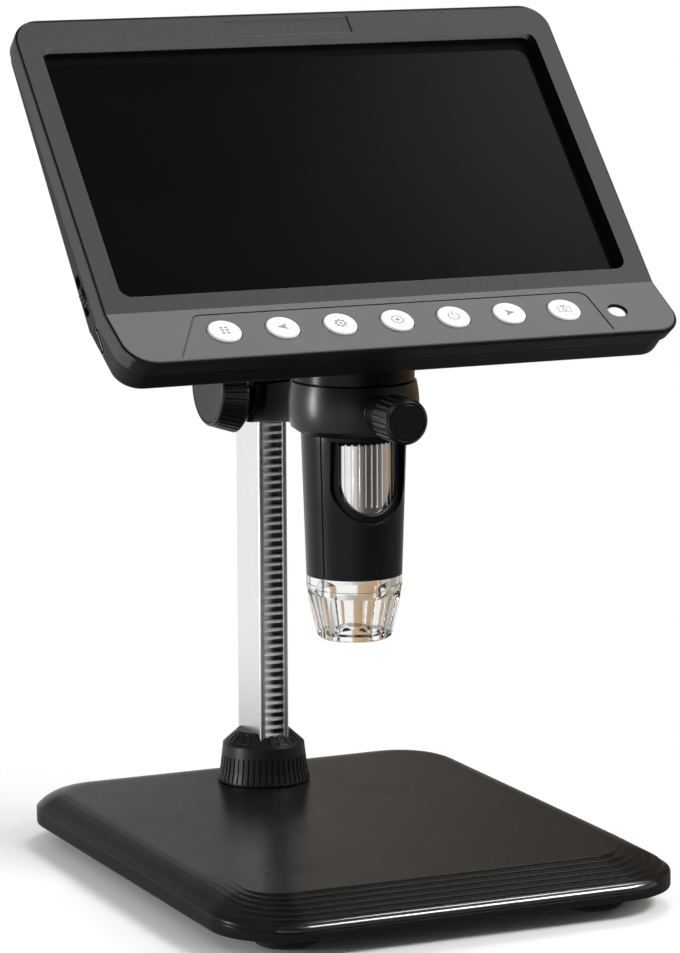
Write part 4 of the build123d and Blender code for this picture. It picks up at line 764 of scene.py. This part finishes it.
# %% Gloss of the front lip
LIP_STARTS = (CREASE - LIP_ROUND, CREASE - 0.8 * LIP_ROUND)
LIP_ENDS = (CREASE + 0.05 * MM, CREASE + 0.15 * MM, 1.0, 0.0)
LIP_BACK = (cover_low.y + 2.2 * MM, cover_low.y + 2.6 * MM, 1.0, 0.0)

tree = finishes["stand_black"].node_tree
shader = tree.nodes["Principled BSDF"]
_, y, z = put(tree, "SeparateXYZ", i0=put(tree, "TexCoord").outputs["Object"]).outputs
rubbed = product(
    tree, spread(tree, z, *LIP_STARTS), spread(tree, z, *LIP_ENDS), spread(tree, y, *LIP_BACK)
)
tree.links.new(rubbed, shader.inputs["Coat Weight"])
shader.inputs["Coat Roughness"].default_value = 0.20
shader.inputs["Coat IOR"].default_value = 1.9
print("front lip polished over", round(LIP_ROUND / MM, 1), "mm")

# %% [markdown]
# ## Symbols on the buttons
#
# The symbols are printed on the button tops.  They could be drawn with texture
# nodes, but as flat shapes they stay crisp at any distance, so each is a filled
# curve a few hundredths of a millimetre thick, riding on its own button.

# %% Outlines to draw with, in millimetres on the button's face
def arc(radius, start=0.0, end=360.0, y=0.0, count=40):
    """Points along an arc, in degrees."""
    whole = end - start >= 360
    steps = count if whole else count - 1
    turns = [radians(start + (end - start) * i / steps) for i in range(count)]
    return [(radius * cos(turn), y + radius * sin(turn)) for turn in turns]


def box_outline(x, y, width, height):
    """The four corners of a rectangle about its middle."""
    a, b = width / 2, height / 2
    return [(x - a, y - b), (x + a, y - b), (x + a, y + b), (x - a, y + b)]


def cog(outer, inner, teeth):
    """The outline of a toothed disc."""
    points = []
    for tooth in range(teeth):
        for share, radius in ((-0.28, inner), (-0.18, outer), (0.18, outer), (0.28, inner)):
            turn = tau * (tooth + share) / teeth
            points.append((radius * cos(turn), radius * sin(turn)))
    return points


def arrow(way):
    """A notched arrow head that points left or right."""
    return [(1.35 * way, 0), (-1.05 * way, 1.15), (-0.55 * way, 0), (-1.05 * way, -1.15)]


print("outlines: arc, box, cog and arrow")

# %% The seven symbols
symbols = {
    "menu": [
        box_outline(x, y, 0.75, 0.6) for x in (-0.55, 0.55) for y in (-0.95, 0, 0.95)
    ],
    "left": [arrow(-1)],
    "settings": [cog(1.5, 1.15, 8), arc(0.78), arc(0.38)],
    "ok": [arc(1.45), arc(1.15), arc(0.5)],
    "power": [
        arc(1.4, 120, 420) + arc(1.12, 120, 420)[::-1], box_outline(0, 0.95, 0.3, 1.3)
    ],
    "right": [arrow(1)],
    "camera": [
        box_outline(0, -0.1, 3.2, 2.1), box_outline(0, -0.1, 2.75, 1.65), arc(0.62, y=-0.1),
        arc(0.36, y=-0.1), box_outline(0, 1.2, 1.1, 0.3),
    ],
}
print("outlines in all:", sum(len(outlines) for outlines in symbols.values()))

# %% Printing a symbol on its button
PRINT_SCALE = 1.3
PRINT_THICKNESS = 0.02 * MM
print_grey = coated(
    "symbol grey", (0.24, 0.24, 0.25), 0.45, 5000, 0.002, 0.02, dusty=0.0, edge_highlight=1.0
)


def top_of(node, axis):
    """The middle of a turned node's outer face."""
    points = [vertex.co for vertex in nodes[node].data.vertices]
    reach = max(point.dot(axis) for point in points)
    outer = [point for point in points if point.dot(axis) > reach - 0.02 * MM]
    return sum(outer, Vector()) / len(outer)


def print_symbol(symbol, outlines, axis):
    """A filled flat shape on a button's top.  Its x runs along the model's X."""
    button = "button_" + symbol
    curve = bpy.data.curves.new("symbol_" + symbol, "CURVE")
    curve.dimensions = "2D"
    curve.fill_mode = "BOTH"
    curve.extrude = PRINT_THICKNESS / 2
    for outline in outlines:
        spline = curve.splines.new("POLY")
        spline.points.add(len(outline) - 1)
        for point, (x, y) in zip(spline.points, outline):
            point.co = (x * PRINT_SCALE * MM, y * PRINT_SCALE * MM, 0, 1)
        spline.use_cyclic_u = True
    curve.materials.append(print_grey)
    piece = bpy.data.objects.new("symbol_" + symbol, curve)
    bpy.context.scene.collection.objects.link(piece)
    across = Vector((1, 0, 0))
    turned = Matrix((across, axis.cross(across), axis)).transposed().to_4x4()
    middle = top_of(button, axis) + axis * PRINT_THICKNESS / 2
    piece.matrix_world = Matrix.Translation(middle) @ turned
    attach(piece, button)


press_axis = {
    joint["child"]: Vector(joint["axis"]).normalized()
    for joint in frame["joints"] if joint["name"].startswith("press_")
}
for symbol, outlines in symbols.items():
    print_symbol(symbol, outlines, press_axis["button_" + symbol])
print("symbols:", ", ".join(symbols))

# %% [markdown]
# ## The room that polished pieces see
#
# The studio looks plain: a white floor that melts into a white background.  But a
# column, a chrome wheel and a clear nose only look like metal and acrylic when they
# mirror something, with dark and light bands in it.  Real cards could stand round
# the object, but they would be many and would block the lamps.  So the world is
# plain white to the camera and an even, weaker light to dull surfaces, and rays off
# a mirror or through clear plastic see bands of wall, a ceiling that is dark but
# for one card, and a warm wall at the far right.  The dark ceiling also keeps the
# display black.

# %% Ways across the room, and kinds of ray
FAR_WAY, RIGHT_WAY, UP_WAY = (0.41, 0.91, 0), (0.91, -0.41, 0), (0, 0, 1)
WHITE = (1, 1, 1, 1)


def rays(tree):
    """Masks of rays from the camera, off a mirror, through glass, and of the last two together."""
    kinds = put(tree, "LightPath").outputs
    mirror, glass = kinds["Is Glossy Ray"], kinds["Is Transmission Ray"]
    return kinds["Is Camera Ray"], mirror, glass, calc(tree, "MAXIMUM", mirror, glass)


print("the room's far side lies along", FAR_WAY)

# %% Walls and ceiling
# A range is where along a way a change starts and ends, and the brightness there.
WALL_HEIGHTS = ((0.12, 0.45, 1.0, 0.10), (0.215, 0.255, 0.72, 1.08))
LEFT_WALL, RIGHT_WALL = (-0.09, 0.06, 1.30, 0.30), (0.4, 0.8, 0.0, 0.5)
FAR_WALL = (-0.7, 0.0, 0.25, 1.0)
CARD_ACROSS = ((0.41, 0.47, 0.0, 1.2), (0.5, 0.62, 1.0, 0.15))
CARD_FAR, CARD_HEIGHT = (0.005, 0.09), (0.6, 0.8)

world = bpy.data.worlds.new("studio")
bpy.context.scene.world = world
world.use_nodes = True
tree = world.node_tree
look = put(tree, "TexCoord").outputs["Generated"]
far, aside, height = (along(tree, look, way) for way in (FAR_WAY, RIGHT_WAY, UP_WAY))
side_walls = calc(tree, "ADD", spread(tree, aside, *LEFT_WALL), spread(tree, aside, *RIGHT_WALL))
walls = product(
    tree, *(spread(tree, height, *part) for part in WALL_HEIGHTS), side_walls,
    spread(tree, far, *FAR_WALL),
)
ceiling_card = product(
    tree, *(spread(tree, aside, *part) for part in CARD_ACROSS), spread(tree, far, *CARD_FAR),
    spread(tree, height, *CARD_HEIGHT),
)
room = calc(tree, "ADD", walls, ceiling_card)
print("room: two side walls, a far wall and a ceiling card")

# %% The world's light and colour
EVEN_LIGHT = 0.34                       # what dull surfaces get
THROUGH_GLASS = 0.65                    # the least that rays through clear pieces meet
WARM_ACROSS, WARM_FAR, WARM_HEIGHT = (-0.08, 0.12), (0.0, 0.5), (0.4, 0.6, 1.0, 0.0)
WARM_WALL = (0.80, 0.62, 0.45, 1)

camera_ray, mirror_ray, glass_ray, bent_ray = rays(tree)
seen_room = calc(tree, "MAXIMUM", room, calc(tree, "MULTIPLY", glass_ray, THROUGH_GLASS))
strength = blend_values(tree, camera_ray, blend_values(tree, bent_ray, EVEN_LIGHT, seen_room), 1.0)
warm = product(
    tree, spread(tree, aside, *WARM_ACROSS), spread(tree, far, *WARM_FAR),
    spread(tree, height, *WARM_HEIGHT), bent_ray,
)
background = tree.nodes["Background"]
tree.links.new(blend_colours(tree, warm, WHITE, WARM_WALL), background.inputs["Color"])
tree.links.new(strength, background.inputs["Strength"])
print("world: even light of", EVEN_LIGHT)

# %% [markdown]
# ## The floor
#
# The floor is pale and matt, and it keeps the soft shadow under the stand.  Further
# out it has to melt into the background, which a lit surface never does exactly, so
# there the camera sees plain emitted white.  A bigger white lamp would also do it,
# but it would wash out the object.  Mirrors see a floor that darkens towards the
# front right and close to the stand, with a narrow tan streak and a warm side, and
# clear pieces see a broader tan stripe.  They give the glossy blacks, the column and
# the nose their soft bands.

# %% Floor
FLOOR_HALF = 6.0
floor_mesh = bpy.data.meshes.new("floor")
floor_mesh.from_pydata(
    [(x * FLOOR_HALF, y * FLOOR_HALF, 0) for x, y in ((-1, -1), (1, -1), (1, 1), (-1, 1))], [],
    [(0, 1, 2, 3)],
)
floor = bpy.data.objects.new("floor", floor_mesh)
bpy.context.scene.collection.objects.link(floor)
floor_white, tree, shader = start_material("floor white")
shader.inputs["Base Color"].default_value = (0.93, 0.93, 0.93, 1)
shader.inputs["Roughness"].default_value = 0.7
shader.inputs["Specular IOR Level"].default_value = 0.2
floor_mesh.materials.append(floor_white)
print("floor:", 2 * FLOOR_HALF, "m square")

# %% How bright mirrors see it
# The ranges are in metres from the middle of the stand.
FRONT, FRONT_RIGHT = (0.0, -0.24), (0.05, 0.30)
FRONT_DIM, RIGHT_DIM = (0.0, 1.0, 1.0, 0.10), (0.0, 0.3, 1.0, 0.35)
CLOSE_DIM = (0.10, 0.30, 0.28, 1.0)
WARM_BESIDE, WARM_BEYOND, WARM_LIGHT = (0.40, 0.50), (-0.05, 0.10), 0.65

spot = put(tree, "TexCoord").outputs["Object"]
away = put(tree, "VectorMath", {"operation": "LENGTH"}, i0=spot).outputs["Value"]
beyond, beside = along(tree, spot, FAR_WAY), along(tree, spot, RIGHT_WAY)
front_right = product(tree, spread(tree, beyond, *FRONT), spread(tree, beside, *FRONT_RIGHT))
bands = product(
    tree, spread(tree, front_right, *FRONT_DIM), spread(tree, beside, *RIGHT_DIM),
    spread(tree, away, *CLOSE_DIM),
)
warm_side = product(tree, spread(tree, beside, *WARM_BESIDE), spread(tree, beyond, *WARM_BEYOND))
mirrored = calc(tree, "MAXIMUM", bands, calc(tree, "MULTIPLY", warm_side, WARM_LIGHT))
print("mirrored floor: dim at the front right and near the stand")

# %% Its tan streaks
STREAK = ((-0.004, 0.002), (0.010, 0.060, 1.0, 0.25))       # as mirrors see it
STRIPE = ((0.0, 0.015), (0.12, 0.15, 1.0, 0.0))             # as clear pieces see it
TAN = (0.62, 0.42, 0.24, 1)
streak = product(tree, *(spread(tree, beside, *part) for part in STREAK))
stripe = product(tree, *(spread(tree, beside, *part) for part in STRIPE))
camera_ray, mirror_ray, glass_ray, bent_ray = rays(tree)
tan_share = blend_values(tree, glass_ray, calc(tree, "MAXIMUM", streak, warm_side), stripe)
tint = blend_colours(tree, calc(tree, "MULTIPLY", bent_ray, tan_share), WHITE, TAN)
print("tan streak from", STREAK[0][0], "to", STREAK[1][1], "m beside the middle")

# %% Plain white beyond the shadow
SHADOW_ENDS = (0.09, 0.18)
glow = blend_values(tree, mirror_ray, 1.0, mirrored)
white = put(tree, "Emission", Color=tint, Strength=glow)
watched = calc(tree, "MAXIMUM", camera_ray, bent_ray)
outside = calc(tree, "MULTIPLY", spread(tree, away, *SHADOW_ENDS), watched)
faded = calc(tree, "MAXIMUM", outside, mirror_ray)
mixed = put(tree, "MixShader", i0=faded, i1=shader.outputs[0], i2=white.outputs[0])
tree.links.new(mixed.outputs[0], tree.nodes["Material Output"].inputs["Surface"])
print("shadow fades out from", SHADOW_ENDS[0], "to", SHADOW_ENDS[1], "m")

# %% [markdown]
# ## The lamps
#
# A workbench tool looks best in soft light from several sides.  A softbox at the
# front right lights the stand and the head.  A lamp above and behind catches the
# upper edges, a strip at the left gives the column and the barrel their left edge,
# and a weak lamp at the front left fills the shadows.  A card at the right warms
# that side.  One big lamp would be simpler, but it would leave the black pieces
# without any form.  The card is hidden from mirrors, because its image would show
# in the display.

# %% Lamps
LAMP_AIM = (0, 0, 0.13)


def soft_lamp(name, place, width, height, power, colour=(1, 1, 1)):
    """A rectangular lamp that points at the object, and that the camera doesn't see."""
    light = bpy.data.lights.new(name, "AREA")
    light.shape, light.size, light.size_y, light.energy = "RECTANGLE", width, height, power
    light.color = colour
    lamp = bpy.data.objects.new(name, light)
    bpy.context.scene.collection.objects.link(lamp)
    lamp.location = place
    lamp.rotation_euler = (Vector(LAMP_AIM) - Vector(place)).to_track_quat("-Z", "Y").to_euler()
    lamp.visible_camera = False
    return lamp


soft_lamp("softbox", (0.62, -0.60, 0.92), 0.50, 0.30, 10.0)
soft_lamp("top", (0.45, 0.50, 1.05), 0.40, 0.40, 4.5)
soft_lamp("left strip", (-0.62, 0.10, 0.13), 0.08, 0.30, 3.0)
soft_lamp("key", (-1.1, -0.9, 1.3), 0.7, 0.7, 3)
warm_card = soft_lamp("right card", (1.2, -0.3, 0.6), 0.3, 0.9, 4, (1, 0.90, 0.78))
warm_card.visible_glossy = False
bpy.context.scene.view_settings.view_transform = "Standard"
print("lamps:", len(bpy.data.lights))
